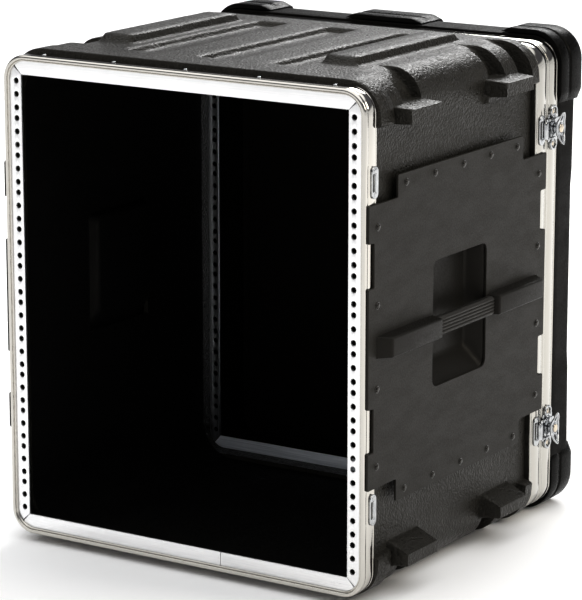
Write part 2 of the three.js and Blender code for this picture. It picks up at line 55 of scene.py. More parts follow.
MID_Z = (valance_low.z + valance_high.z) / 2 / MM
BODY, LID = "case", "rear_lid"

# ---- driving dimensions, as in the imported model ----
# Half sizes of the clear opening, of the aluminium frame and of the rails inside it.
OPEN_X, OPEN_Z = 225.4, 268.2
FRAME_X, FRAME_Z, FRAME_R = 249.3, 291.6, 30.0
FLANGE_X, FLANGE_Z, FLANGE_R = 246.8, 289.1, 27.5

# Depths, from the front face of the rails backwards.
RAIL_Y = -248.5
LIP_Y = RAIL_Y - 4.0
FRONT_BAND_Y = RAIL_Y + 20.0
REAR_BAND_Y = RAIL_Y + 387.5
SEAM_Y = RAIL_Y + 415.5
LID_BAND_Y = RAIL_Y + 440.8
LID_BACK_Y = RAIL_Y + 497.0
BUMPER_BACK_Y = RAIL_Y + 501.0
RAIL_THICK = 2.7
REAR_RAIL_Y = SEAM_Y - 1.6 - RAIL_THICK

# The rack's hole grid.
UNIT, UNITS = 44.45, 12
HOLE_OFFSETS = (6.35, 22.225, 38.1)
HOLE_X, HOLE_R = 232.55, 3.5

# The shell between its valances, and the bay inside it.
SHELL_Y0, SHELL_Y1 = FRONT_BAND_Y + 0.3, REAR_BAND_Y - 0.3
SHELL_X, SHELL_Z, SHELL_R = 242.0, 297.6, 38.0
CAVITY_X, CAVITY_Z, CAVITY_R = 235.7, 288.5, 46.0

# The recess behind each grip, the side plate, and the middle of each latch.
CUP_Y0, CUP_Y1, CUP_Z0, CUP_Z1 = -107.5, 16.5, -73.5, 75.5
PLATE_X, PLATE_OUT = 249.6, 252.6
LATCH_Y, LATCH_Z = RAIL_Y + 428.0, 187.5

SIDES = (("left", -1), ("right", 1))
LEVELS = (("upper", 1), ("lower", -1))
QUARTERS = ((1, 1), (-1, 1), (-1, -1), (1, -1))  # signs of x and z, anticlockwise


# ---- mesh helpers ----
def smooth_step(t):
    t = np.clip(t, 0.0, 1.0)
    return t * t * (3 - 2 * t)


def merge(parts):
    """Joins (points, faces) parts into one pair."""
    points, faces = [], []
    for p, f in parts:
        base = len(points)
        points.extend([tuple(q) for q in p])
        faces.extend([tuple(base + i for i in face) for face in f])
    return points, faces


def mirror(part, sign, axis=0):
    """The part itself, or its mirror image along an axis where the sign is negative."""
    if sign > 0:
        return part
    points, faces = part
    scale = [1, 1, 1]
    scale[axis] = -1
    return np.multiply(points, scale).tolist(), [tuple(reversed(f)) for f in faces]


def build(
    name, parts, material, body, nodes=(), sharp=35, outward=True, uv=None
):
    """A piece of the object from one or more parts, riding on a body, in the given material."""
    points, faces = merge(parts)
    mesh = bpy.data.meshes.new(name)
    mesh.from_pydata([(x * MM, y * MM, (z + MID_Z) * MM) for x, y, z in points], [], faces)
    if uv is not None:
        layer = mesh.uv_layers.new(name="grain")
        layer.data.foreach_set("uv", np.asarray(uv, np.float32).ravel())
    bm = bmesh.new()
    bm.from_mesh(mesh)
    if outward:
        bmesh.ops.recalc_face_normals(bm, faces=bm.faces)
    limit = math.radians(sharp)
    for e in bm.edges:
        e.smooth = len(e.link_faces) == 2 and e.calc_face_angle(0) < limit
    for f in bm.faces:
        f.smooth = True
    bm.to_mesh(mesh)
    bm.free()
    mesh.materials.append(material)
    obj = bpy.data.objects.new(name, mesh)
    bpy.context.scene.collection.objects.link(obj)
    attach(obj, body)
    if nodes:
        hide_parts(*nodes)
    return obj


def tube_faces(rows, columns):
    """Quads between rows of points, where each row is a closed loop."""
    faces = []
    for i in range(rows - 1):
        for j in range(columns):
            k = (j + 1) % columns
            low, high = i * columns, (i + 1) * columns
            faces.append((low + j, low + k, high + k, high + j))
    return faces


def capped_tube(rows):
    """A part from rows of points, each a closed loop, with a face across both ends."""
    columns = len(rows[0])
    faces = tube_faces(len(rows), columns)
    faces.append(tuple(reversed(range(columns))))
    faces.append(tuple((len(rows) - 1) * columns + k for k in range(columns)))
    return [q for row in rows for q in row], faces


def corner_ring(half_x, half_z, radius, steps):
    """Points round a rounded rectangle, as arrays of x and z."""
    xs, zs = [], []
    for k, (sx, sz) in enumerate(QUARTERS):
        for i in range(steps + 1):
            a = math.pi / 2 * (k + i / steps)
            xs.append(sx * (half_x - radius) + radius * math.cos(a))
            zs.append(sz * (half_z - radius) + radius * math.sin(a))
    return np.array(xs), np.array(zs)


def fillet(points, radius, steps=4):
    """A closed outline with each corner rounded."""
    out = []
    n = len(points)
    for i in range(n):
        p, a, b = (Vector(points[k % n]) for k in (i, i - 1, i + 1))
        to_a, to_b = (a - p).normalized(), (b - p).normalized()
        half = to_a.angle(to_b) / 2
        reach = min(radius / math.tan(half), 0.45 * min((a - p).length, (b - p).length))
        start, end = p + to_a * reach, p + to_b * reach
        for k in range(steps + 1):
            t = k / steps
            out.append(tuple(start * (1 - t) ** 2 + p * 2 * t * (1 - t) + end * t * t))
    return out


def circle(u, v, r, n=24):
    angles = [2 * math.pi * k / n for k in range(n)]
    return [(u + r * math.cos(a), v + r * math.sin(a)) for a in angles]


def oval(u, v, half_u, half_v, n=12):
    """A slot shape standing along v, with round ends."""
    angles = [math.pi * k / n for k in range(n + 1)]
    straight = half_v - half_u
    end = [(half_u * math.cos(a), straight + half_u * math.sin(a)) for a in angles]
    return [(u + a, v + b) for a, b in end] + [(u - a, v - b) for a, b in end]


def flat(outer, holes, near, far, axis, bevel=0.35, steps=2):
    """A sheet with holes and bevelled edges. Its outline is in (x, z) for axis y, or in
    (y, z) for axis x, and it fills near to far along the axis."""
    curve = bpy.data.curves.new("outline", "CURVE")
    curve.dimensions = "2D"
    curve.fill_mode = "BOTH"
    curve.extrude = (far - near) / 2 - bevel
    curve.bevel_depth = bevel
    curve.bevel_resolution = steps
    curve.offset = -bevel
    for loop in [outer, *holes]:
        spline = curve.splines.new("POLY")
        spline.points.add(len(loop) - 1)
        for point, (u, v) in zip(spline.points, loop):
            point.co = (u, v, 0, 1)
        spline.use_cyclic_u = True
    obj = bpy.data.objects.new("outline", curve)
    bpy.context.scene.collection.objects.link(obj)
    bpy.context.view_layer.update()
    evaluated = obj.evaluated_get(bpy.context.evaluated_depsgraph_get())
    mesh = bpy.data.meshes.new_from_object(evaluated)
    bm = bmesh.new()
    bm.from_mesh(mesh)
    bmesh.ops.remove_doubles(bm, verts=bm.verts, dist=0.001)
    middle = (near + far) / 2
    if axis == "y":
        points = [(v.co.x, middle - v.co.z, v.co.y) for v in bm.verts]
    else:
        points = [(middle + v.co.z, v.co.x, v.co.y) for v in bm.verts]
    bm.verts.index_update()
    faces = [tuple(v.index for v in f.verts) for f in bm.faces]
    bm.free()
    bpy.data.objects.remove(obj)
    bpy.data.curves.remove(curve)
    bpy.data.meshes.remove(mesh)
    return points, faces


def rounded(bm, edges, offset, segments):
    """The part in a bmesh after these edges are rounded. It frees the bmesh."""
    bmesh.ops.bevel(bm, geom=edges, offset=offset, segments=segments, affect="EDGES", profile=0.5)
    bm.verts.index_update()
    part = [tuple(v.co) for v in bm.verts], [tuple(v.index for v in f.verts) for f in bm.faces]
    bm.free()
    return part


def slab(x0, x1, y0, y1, z0, z1, bevel=0.5, segments=2):
    """A block with rounded edges."""
    bm = bmesh.new()
    bmesh.ops.create_cube(bm, size=1)
    low, high = Vector((x0, y0, z0)), Vector((x1, y1, z1))
    for v in bm.verts:
        v.co = (low + high) / 2 + v.co * (high - low)
    return rounded(bm, bm.edges[:], bevel, segments)


def lathe(profile, y, z, n=20):
    """A turned part on an axis along x. The profile lists (x, radius)."""
    turns = [2 * math.pi * k / n for k in range(n)]
    rows = [[(x, y + r * math.cos(a), z + r * math.sin(a)) for a in turns] for x, r in profile]
    return capped_tube(rows)


def dome(x, y, z, radius, height, n=16):
    """A rivet head standing on x, with a raised rim round a low dome."""
    profile = [(x, radius), (x + 0.35 * height, radius)]
    for k in range(1, 6):
        a = math.pi / 2 * k / 6
        profile.append((x + height * (0.35 + 0.65 * math.sin(a)), radius * math.cos(a)))
    return lathe(profile, y, z, n)


def turned_up(part):
    """Swings a part made along +x so that it stands along +z instead."""
    points, faces = part
    return [(z, y, x) for x, y, z in points], [tuple(reversed(f)) for f in faces]


# ---- materials ----
def put(tree, socket, value):
    """Sets a socket, or links it where the value is the output of another node."""
    if isinstance(value, bpy.types.NodeSocket):
        tree.links.new(value, socket)
    else:
        socket.default_value = value


def add(tree, kind, inputs):
    node = tree.nodes.new("ShaderNode" + kind)
    for key, value in inputs.items():
        put(tree, node.inputs[key], value)
    return node


def new_material(name):
    m = bpy.data.materials.new(name)
    m.use_nodes = True
    m.node_tree.nodes.clear()
    shader = add(m.node_tree, "BsdfPrincipled", {})
    add(m.node_tree, "OutputMaterial", {"Surface": shader.outputs["BSDF"]})
    return m, m.node_tree, shader.inputs


def noise(tree, vector, scale, detail, rough):
    inputs = {"Vector": vector, "Scale": scale, "Detail": detail, "Roughness": rough}
    return add(tree, "TexNoise", inputs).outputs["Fac"]


def ramp(tree, value, stops):
    node = add(tree, "ValToRGB", {"Fac": value})
    elements = node.color_ramp.elements
    while len(elements) < len(stops):
        elements.new(0.5)
    for element, (at, colour) in zip(elements, stops):
        element.position = at
        element.color = (*colour, 1)
    return node.outputs["Color"]


def span(tree, value, low, high, from_low=0.3, from_high=0.7):
    inputs = {"From Min": from_low, "From Max": from_high, "To Min": low, "To Max": high}
    return add(tree, "MapRange", {"Value": value, **inputs}).outputs["Result"]


def maths(tree, operation, a, b):
    node = add(tree, "Math", {0: a, 1: b})
    node.operation = operation
    return node.outputs["Value"]


def weighted(tree, a, share, b):
    """This share of a, and the rest of b."""
    first, second = maths(tree, "MULTIPLY", a, share), maths(tree, "MULTIPLY", b, 1 - share)
    return maths(tree, "ADD", first, second)


def place(tree, source="Object", scale=(1, 1, 1)):
    where = add(tree, "TexCoord", {}).outputs[source]
    return add(tree, "Mapping", {"Vector": where, "Scale": scale}).outputs["Vector"]


def bumps(tree, height, strength, depth):
    """A normal for bumps of this depth in millimetres."""
    inputs = {"Strength": strength, "Distance": depth * MM, "Height": height}
    return add(tree, "Bump", inputs).outputs["Normal"]


def grey(value):
    return (value, value, value)


# Warm tint on the plastics' gloss: a painted warm reflection of the side light.
PAINTED_WARM_SHEEN = (1.0, 0.94, 0.84, 1.0)  # tint of the plastics' gloss


def moulded(name, dark, light, rough, grain, depth, worn, gloss):
    """Moulded plastic: a pebble grain of so many cells per metre and this depth in
    millimetres, slow colour variation, and paler scuffs that are duller."""
    m, tree, shader = new_material(name)
    where = place(tree)
    patches = noise(tree, where, 9, 4, 0.6)
    fine = noise(tree, where, grain * 0.5, 2, 0.5)
    scuffs = noise(tree, place(tree, scale=(1, 0.35, 1)), 55, 6, 0.75)
    base = ramp(tree, weighted(tree, patches, 0.45, fine), [(0.35, dark), (0.68, light)])
    wear = ramp(tree, scuffs, [(0.6, grey(0)), (0.74, grey(worn))])
    scuffed = (*[c * 1.7 for c in light], 1)
    mix = add(tree, "MixRGB", {"Fac": wear, "Color1": base, "Color2": scuffed})
    uneven = weighted(tree, scuffs, 0.4, fine)
    cells = add(tree, "TexVoronoi", {"Vector": where, "Scale": grain})
    cells.feature = "SMOOTH_F1"
    cells.inputs["Smoothness"].default_value = 0.6
    pits = maths(tree, "MULTIPLY", fine, 0.6)
    height = maths(tree, "ADD", cells.outputs["Distance"], pits)
    put(tree, shader["Base Color"], mix.outputs["Color"])
    put(tree, shader["Roughness"], span(tree, uneven, rough - 0.12, rough + 0.14, 0.38, 0.62))
    put(tree, shader["Specular IOR Level"], gloss)
    # The gloss takes the painted warm tint.
    put(tree, shader["Specular Tint"], PAINTED_WARM_SHEEN)
    put(tree, shader["Normal"], bumps(tree, height, 0.8, depth))
    return m


def brushed(name, colour, dark, rough, scale, lines, source="Object", metallic=1.0, depth=0.02):
    """Metal with brush lines that run along the axis whose scale is small."""
    m, tree, shader = new_material(name)
    streaks = noise(tree, place(tree, source, scale), lines, 5, 0.65)
    broad = noise(tree, place(tree), 14, 3, 0.6)
    base = ramp(tree, streaks, [(0.3, dark), (0.62, colour)])
    shade = ramp(tree, broad, [(0.3, grey(0.82)), (0.6, grey(1))])
    mix = add(tree, "MixRGB", {"Fac": 0.35, "Color1": base, "Color2": shade})
    mix.blend_type = "MULTIPLY"
    put(tree, shader["Base Color"], mix.outputs["Color"])
    put(tree, shader["Metallic"], metallic)
    put(tree, shader["Roughness"], span(tree, streaks, rough * 0.8, rough * 1.25))
    put(tree, shader["Normal"], bumps(tree, streaks, 0.35, depth))
    return m


shell_plastic = moulded(
    "shell_plastic", dark=(0.0080, 0.0075, 0.0063), light=(0.0135, 0.0127, 0.0107),
    rough=0.38, grain=380, depth=0.9, worn=0.4, gloss=0.11)
lid_plastic = moulded(
    "lid_plastic", dark=(0.0020, 0.0019, 0.0017), light=(0.0034, 0.0032, 0.0029),
    rough=0.50, grain=900, depth=0.12, worn=0.3, gloss=0.02)
bumper_plastic = moulded(
    "bumper_plastic", dark=(0.0018, 0.0018, 0.0017), light=(0.0034, 0.0033, 0.0031),
    rough=0.30, grain=800, depth=0.12, worn=0.3, gloss=0.022)
plate_plastic = moulded(
    "plate_plastic", dark=(0.0100, 0.0094, 0.0081), light=(0.0124, 0.0116, 0.0100),
    rough=0.48, grain=1100, depth=0.08, worn=0.12, gloss=0.09)
handle_plastic = moulded(
    "handle_plastic", dark=(0.0064, 0.0060, 0.0052), light=(0.0088, 0.0082, 0.0071),
    rough=0.42, grain=1000, depth=0.1, worn=0.2, gloss=0.07)
# Bay plastic: the shell's plastic made far darker, painting the shade inside the case.
bay_plastic_painted_shade = moulded(
    "bay_plastic_painted_shade", dark=grey(0.0012), light=grey(0.0024),
    rough=0.6, grain=560, depth=0.3, worn=0.1, gloss=0.06)
rubber = moulded(
    "rubber", dark=(0.011, 0.0105, 0.0095), light=(0.018, 0.0172, 0.0158),
    rough=0.5, grain=1300, depth=0.08, worn=0.4, gloss=0.16)
rivet_black = moulded(
    "rivet_black", dark=grey(0.002), light=grey(0.004),
    rough=0.16, grain=1500, depth=0.02, worn=0.2, gloss=0.3)

ALONG_X, ALONG_Z, ALONG_EDGE = (0.02, 1, 1), (1, 1, 0.02), (1, 40, 1)
# Valance aluminium. Its beige tint is painted warm light from the side.
valance_metal = brushed(
    "valance_metal", colour=(0.55, 0.53, 0.485), dark=(0.51, 0.49, 0.45),
    rough=0.10, scale=ALONG_EDGE, lines=30, source="UV", depth=0.002)
# The rear and lid bands: the same aluminium made darker as painted shade, with the same painted
# warm tint.
valance_metal_painted_shade = brushed(
    "valance_metal_painted_shade", colour=(0.44, 0.425, 0.385), dark=(0.40, 0.385, 0.35),
    rough=0.10, scale=ALONG_EDGE, lines=30, source="UV", depth=0.002)
rail_metal = brushed(
    "rail_metal", colour=grey(0.97), dark=(0.88, 0.88, 0.89),
    rough=0.36, scale=ALONG_Z, lines=900)
sill_metal = brushed(
    "sill_metal", colour=grey(0.94), dark=(0.80, 0.80, 0.81),
    rough=0.34, scale=ALONG_X, lines=900)
# Rear sills: aluminium tinted blue and made half diffuse, painting the bright bluish reflection
# they show.
sill_metal_painted_reflection = brushed(
    "sill_metal_painted_reflection", colour=(0.90, 0.94, 1.0), dark=(0.58, 0.62, 0.68),
    rough=0.4, scale=ALONG_X, lines=900, metallic=0.5, depth=0.003)
# Rear rails: the rail aluminium made darker, as painted shade inside the case.
rail_metal_painted_shade = brushed(
    "rail_metal_painted_shade", colour=(0.62, 0.64, 0.67), dark=(0.50, 0.52, 0.55),
    rough=0.3, scale=ALONG_Z, lines=900, depth=0.003)
zinc = brushed(
    "zinc", colour=(0.52, 0.53, 0.54), dark=(0.24, 0.25, 0.26),
    rough=0.12, scale=(1, 1, 0.3), lines=420)
brass = brushed(
    "brass", colour=(0.66, 0.58, 0.46), dark=(0.34, 0.27, 0.20),
    rough=0.22, scale=(1, 1, 1), lines=300)


# ---- body shell: rays reach out from the inside, and the surface is a distance along each ----
LEVEL_X, LEVEL_Z = 196.0, 268.0  # rays are level up to LEVEL_Z and upright within LEVEL_X
RAY_STEPS = 16  # rays round a quarter of each corner

# Stretches along the depth, measured from the rails.
COLLARS = ((20.3, 51.0), (368.0, 387.2))
BANDS = ((51.0, 80.0), (312.0, 345.0))
CHANNELS = ((80.0, 127.0), (285.0, 312.0), (345.0, 368.0))
BLOCKS = ((60.0, 127.0), (277.0, 342.0))
SECTION_EDGE = 3.0  # width of the soft step at the end of a stretch

# Cross-sections of the corners there, and how far down the side each one reaches.
COLLAR_X, COLLAR_R, COLLAR_DROP = 254.0, 44.0, 50.0
BAND_X = 249.0
CHANNEL_X, CHANNEL_R, CHANNEL_Z = 234.0, 52.0, 250.0

# Side blocks. The lower ones shed water outwards, and the rear upper ones stand on a pad.
BLOCK_X, BLOCK_Z0, BLOCK_Z1 = 270.0, 247.0, 263.0
LOWER_Z0, LOWER_Z1, LOWER_SLOPE = 238.0, 265.0, 12.0
BLOCK_EDGE = 2.6
PAD_FROM, PAD_TO, PAD_Z, PAD_HIGH = 271.0, 345.0, 238.0, 6.0

# Bars on the top, with runners below them on the base, and the grooves between them.
BARS = ((-187.0, -147.0), (126.0, 166.0))
BAR_Y0, BAR_Y1 = -144.5, 95.5
BAR_HIGH, RUNNER_HIGH = 9.0, 4.1
GROOVE_X, GROOVE_HALF, GROOVE_DEPTH = (-100.0, 0.0, 100.0), 17.0, 5.5
GROOVE_Y0, GROOVE_Y1 = RAIL_Y + 68.0, RAIL_Y + 350.0
RIDGE_EDGE = 5.0  # width of the slope beside a bar or groove
END_ROUND = 1.2


def lines(low, high, edges, step):
    """Grid lines from low to high: five round each edge, and no gap over step."""
    marks = {low, high}
    for edge, width in edges:
        for k in (-1.0, -0.5, 0.0, 0.5, 1.0):
            if low < edge + k * width / 2 < high:
                marks.add(round(edge + k * width / 2, 3))
    marks = sorted(marks)
    out = [marks[0]]
    for mark in marks[1:]:
        gap = mark - out[-1]
        if gap < 0.3:
            continue
        count = max(1, math.ceil(gap / step))
        start = out[-1]
        out.extend(start + gap * k / count for k in range(1, count + 1))
    out[-1] = high
    return np.array(out)


def rays():
    """Origins and directions of the rays round the case, seen from the front."""
    block_edges = (BLOCK_Z0 - 1.2, BLOCK_Z1 + 1.2, CUP_Z1, -CUP_Z0, LOWER_Z0)
    edges = [(z, BLOCK_EDGE) for z in block_edges] + [(LOWER_Z0 + LOWER_SLOPE, 2.0)]
    level = lines(0.0, LEVEL_Z, edges, 14)
    slopes = [g + s * (GROOVE_HALF + 2) for g in GROOVE_X for s in (-1, 1)]
    slopes += [x + s * 2 for bar in BARS for x, s in zip(bar, (-1, 1))]
    upright = lines(-LEVEL_X, LEVEL_X, [(x, RIDGE_EDGE) for x in slopes], 14)
    origin, direction = [], []

    def straight(places, dx, dz):
        for v in places:
            origin.append((v * abs(dz), v * abs(dx)))
            direction.append((dx, dz))

    def corner(quarter):
        sx, sz = QUARTERS[quarter]
        for k in range(RAY_STEPS + 1):
            a = math.pi / 2 * (quarter + k / RAY_STEPS)
            origin.append((sx * LEVEL_X, sz * LEVEL_Z))
            direction.append((math.cos(a), math.sin(a)))

    straight(level[:-1], 1, 0)
    corner(0)
    straight(upright[::-1][1:-1], 0, 1)
    corner(1)
    straight(level[:-1][::-1], -1, 0)
    straight(-level[1:-1], -1, 0)
    corner(2)
    straight(upright[1:-1], 0, -1)
    corner(3)
    straight(-level[1:-1][::-1], 1, 0)
    return np.array(origin, float), np.array(direction, float)


def reach(origin, direction, half_x, half_z, radius):
    """Distance along each ray to a rounded rectangle, found by halving."""
    low = np.zeros(len(origin))
    high = np.full(len(origin), 420.0)
    for _ in range(40):
        t = (low + high) / 2
        p = np.abs(origin + direction * t[:, None])
        q = np.maximum(p - np.array([half_x - radius, half_z - radius]), 0)
        inside = np.hypot(q[:, 0], q[:, 1]) < radius
        low, high = np.where(inside, t, low), np.where(inside, high, t)
    return (low + high) / 2


def ramp_between(values, a, b, width):
    """1 between a and b, and 0 outside, over a soft edge of that width."""
    values = np.asarray(values, float)
    up = smooth_step((values - a) / width + 0.5)
    down = smooth_step((b - values) / width + 0.5)
    return np.minimum(up, down)


def shell_stations():
    """Places along the depth where the shell has a ring of points."""
    edges = [(RAIL_Y + e, 3.0) for pair in (*COLLARS, *BANDS, *CHANNELS) for e in pair]
    edges += [(RAIL_Y + a - 1, BLOCK_EDGE) for a, _ in BLOCKS]
    edges += [(RAIL_Y + b + 1, BLOCK_EDGE) for _, b in BLOCKS] + [(RAIL_Y + PAD_FROM, 3.0)]
    edges += [(BAR_Y0 + 4, 12.0), (BAR_Y1 - 4, 12.0), (GROOVE_Y0 + 3, 8.0), (GROOVE_Y1 - 3, 8.0)]
    edges += [(CUP_Y0, 2.0), (CUP_Y1, 2.0), (SHELL_Y0, 3.0), (SHELL_Y1, 3.0)]
    return lines(SHELL_Y0, SHELL_Y1, edges, 11)


def shell_distances(ys, origin, direction):
    """Distance along every ray to the outside of the shell, at every station."""
    main = reach(origin, direction, SHELL_X, SHELL_Z, SHELL_R)
    collar = reach(origin, direction, COLLAR_X, SHELL_Z, COLLAR_R)
    band = reach(origin, direction, BAND_X, SHELL_Z, COLLAR_R)
    channel = reach(origin, direction, CHANNEL_X, SHELL_Z, CHANNEL_R)
    x, z = (origin + direction * main[:, None]).T
    down = np.abs(z)
    side = level_rays(origin, direction)
    upright = (np.abs(direction[:, 1]) > 0.999) & (np.abs(origin[:, 1]) < 1)
    collar_weight = smooth_step((down - (SHELL_Z - COLLAR_DROP) + 3.0) / 3.5)
    channel_weight = smooth_step((down - CHANNEL_Z + 2.0) / 4.0)
    upper_block = ramp_between(z, BLOCK_Z0 - 1.2, BLOCK_Z1 + 1.2, BLOCK_EDGE)
    lower_block = ramp_between(-z, LOWER_Z0, LOWER_Z1, BLOCK_EDGE)
    block_weight = (upper_block + lower_block) * side
    shed = np.clip((-z - LOWER_Z0) / LOWER_SLOPE, 0, 1)
    block_face = np.where(z > 0, BLOCK_X, SHELL_X + 2 + (BLOCK_X - SHELL_X - 2) * shed)
    pad_weight = ramp_between(z, PAD_Z, BLOCK_Z0 + 0.5, 3.0) * side
    ridge_high = np.where(z > 200, BAR_HIGH, RUNNER_HIGH)
    ridge_rays = (upright | (down > LEVEL_Z)) * (direction[:, 1] ** 2 > 0.9)
    sections = [(c, collar, collar_weight) for c in COLLARS]
    sections += [(c, band, collar_weight) for c in BANDS]
    outer = []
    for y in ys:
        d = y - RAIL_Y
        r = main.copy()
        for (a, b), section, weight in sections:
            r = r + (section - main) * ramp_between(d, a, b, SECTION_EDGE) * weight
        r = r + PAD_HIGH * ramp_between(d, PAD_FROM, PAD_TO, SECTION_EDGE) * pad_weight
        for a, b in CHANNELS:
            r = r + (channel - main) * ramp_between(d, a, b, SECTION_EDGE) * channel_weight
        for a, b in BLOCKS:
            w = ramp_between(d, a - 1, b + 1, BLOCK_EDGE) * block_weight
            r = r * (1 - w) + block_face * w
        along = ramp_between(y, BAR_Y0 + 5, BAR_Y1 - 5, 14.0)
        for a, b in BARS:
            across = ramp_between(x, a - 2, b + 2, RIDGE_EDGE)
            r = r + ridge_high * along * across * ridge_rays
        along = ramp_between(y, GROOVE_Y0 + 3, GROOVE_Y1 - 3, 8.0)
        for g in GROOVE_X:
            across = ramp_between(x, g - GROOVE_HALF - 2, g + GROOVE_HALF + 2, RIDGE_EDGE)
            r = r - GROOVE_DEPTH * along * across * upright
        end = min(y - SHELL_Y0, SHELL_Y1 - y)
        if end < END_ROUND:
            r = r - (END_ROUND - math.sqrt(max(0.0, END_ROUND ** 2 - (END_ROUND - end) ** 2)))
        outer.append(r)
    return outer


def level_rays(origin, direction):
    """Which rays leave the middle of the case straight to a side."""
    return (np.abs(direction[:, 0]) > 0.999) & (np.abs(origin[:, 0]) < 1)


def cup_cells(ys, origin, direction):
    """The cells (station, ray) that the two recesses cut out of the shell."""
    m = len(origin)
    side = level_rays(origin, direction)
    cut = set()
    for j in range(m):
        k = (j + 1) % m
        if not (side[j] and side[k] and CUP_Z0 < (origin[j, 1] + origin[k, 1]) / 2 < CUP_Z1):
            continue
        for i in range(len(ys) - 1):
            if CUP_Y0 < (ys[i] + ys[i + 1]) / 2 < CUP_Y1:
                cut.add((i, j))
    return cut


def shell_parts():
    """Points of the shell, the faces of its outside and edges, and those of its inside."""
    origin, direction = rays()
    ys = shell_stations()
    n, m = len(ys), len(origin)
    cavity = reach(origin, direction, CAVITY_X, CAVITY_Z, CAVITY_R)
    points = []
    for distances in (shell_distances(ys, origin, direction), [cavity] * n):
        for y, r in zip(ys, distances):
            points.extend((x, y, z) for x, z in origin + direction * r[:, None])
    base = n * m
    cut = cup_cells(ys, origin, direction)
    skin, lining = [], []
    for i in range(n - 1):
        for j in range(m):
            if (i, j) in cut:
                continue
            k = (j + 1) % m
            a, b, c, d = i * m + j, i * m + k, (i + 1) * m + k, (i + 1) * m + j
            skin.append((a, b, c, d))
            lining.append((base + a, base + d, base + c, base + b))
            for di, dj, u, v in ((-1, 0, a, b), (1, 0, c, d), (0, -1, d, a), (0, 1, b, c)):
                if (i + di, (j + dj) % m) in cut:
                    skin.append((v, u, base + u, base + v))
    last = (n - 1) * m
    for j in range(m):
        k = (j + 1) % m
        skin.append((j, base + j, base + k, k))
        skin.append((last + j, last + k, base + last + k, base + last + j))
    return points, skin, lining


shell_points, shell_skin, shell_lining = shell_parts()
shell = build(
    "body_shell_fine", [(shell_points, shell_skin + shell_lining)], shell_plastic,
    BODY, ["body_shell"], sharp=50)
# The shell's inside takes the bay plastic, darkened as painted shade.
shell.data.materials.append(bay_plastic_painted_shade)
for polygon in shell.data.polygons:
    if polygon.index >= len(shell_skin):
        polygon.material_index = 1


# ---- valances, swept round the open ends ----
def sweep(profile, steps=14):
    """A closed profile of (y, inset) carried round the aluminium frame, with its UVs:
    u runs along the edge and v across the profile, both in metres."""
    rows = []
    for y, inset in profile:
        xs, zs = corner_ring(FRAME_X - inset, FRAME_Z - inset, FRAME_R - inset, steps)
        rows.append([(x, y, z) for x, z in zip(xs, zs)])
    n, columns = len(rows), len(rows[0])
    along, across = [0.0], [0.0]
    for j in range(columns):
        step = Vector(rows[0][(j + 1) % columns]) - Vector(rows[0][j])
        along.append(along[-1] + step.length * MM)
    for i in range(n):
        step = Vector(profile[(i + 1) % n]) - Vector(profile[i])
        across.append(across[-1] + step.length * MM)
    faces, uv = [], []
    for i in range(n):
        low, high = i * columns, (i + 1) % n * columns
        for j in range(columns):
            k = (j + 1) % columns
            faces.append((low + j, low + k, high + k, high + j))
            uv += [(along[j], across[i]), (along[j + 1], across[i])]
            uv += [(along[j + 1], across[i + 1]), (along[j], across[i + 1])]
    return [q for row in rows for q in row], faces, uv


def arc(y, inset, r, start, stop, steps=5):
    out = []
    for k in range(steps + 1):
        a = math.radians(start + (stop - start) * k / steps)
        out.append((y + r * math.cos(a), inset + r * math.sin(a)))
    return out


SPIGOT, LINING = 2.5, 8.5  # insets of the shell's ends inside the valances
LEG_CLEARANCE = 3.2  # how far an end is cut back to clear the legs of the rails


def spigot_profile(y0, y1, step_y):
    """The shell's end inside a valance: the full section from y0, cut back from step_y to y1."""
    cut = SPIGOT + LEG_CLEARANCE
    return [(y0, SPIGOT), (step_y, SPIGOT), (step_y, cut), (y1, cut), (y1, LINING), (y0, LINING)]


for end, y0, y1, step_y in (
    ("front", SHELL_Y0 - 0.2, RAIL_Y + 3.2, -233.4),
    ("rear", SHELL_Y1 + 0.2, REAR_RAIL_Y - 0.4, 150.2),
):
    points, faces, _ = sweep(spigot_profile(y0, y1, step_y))
    build("shell_spigot_" + end, [(points, faces)], shell_plastic, BODY, sharp=60)

WALL = 2.2  # thickness of the aluminium
front_profile = [
    (FRONT_BAND_Y, WALL), (FRONT_BAND_Y, 0.5), (FRONT_BAND_Y - 0.5, 0.0),
    (-231.4, 0.0), (-231.9, 0.2), (-232.3, 0.2), (-232.8, 0.0),
    (-240.0, 0.0), (-245.4, 0.0), (-245.8, 0.3), (-246.3, 0.3), (-246.7, 0.0),
    *arc(-249.3, 3.2, 3.2, 270, 180, 6),
    (LIP_Y, 3.9), (-252.3, 4.5), (-251.6, 4.85), (-250.6, 4.95), (-250.2, 5.25),
    (-250.5, 5.65), (-250.8, 6.1), (-250.7, 6.7), (-250.2, 7.15), (-249.4, 7.3),
    (-248.8, 7.3), (-248.8, WALL),
]
points, faces, uv = sweep(front_profile)
build(
    "front_valance_fine", [(points, faces)], valance_metal, BODY, ["front_valance"],
    sharp=60, uv=uv)

RIB_WIDTH, RIB_DEPTH = 0.8, 0.12


def band_profile(y0, y1, ribs):
    """A flat band with rolled edges and a fine drawn line at each rib."""
    out = [(y0, WALL), (y0, 0.7), (y0 + 0.3, 0.2), (y0 + 0.9, 0.0)]
    for y in ribs:
        out += [(y - RIB_WIDTH / 2, 0.0), (y - RIB_WIDTH / 4, RIB_DEPTH)]
        out += [(y + RIB_WIDTH / 4, RIB_DEPTH), (y + RIB_WIDTH / 2, 0.0)]
    return out + [(y1 - 0.9, 0.0), (y1 - 0.3, 0.2), (y1, 0.7), (y1, WALL)]


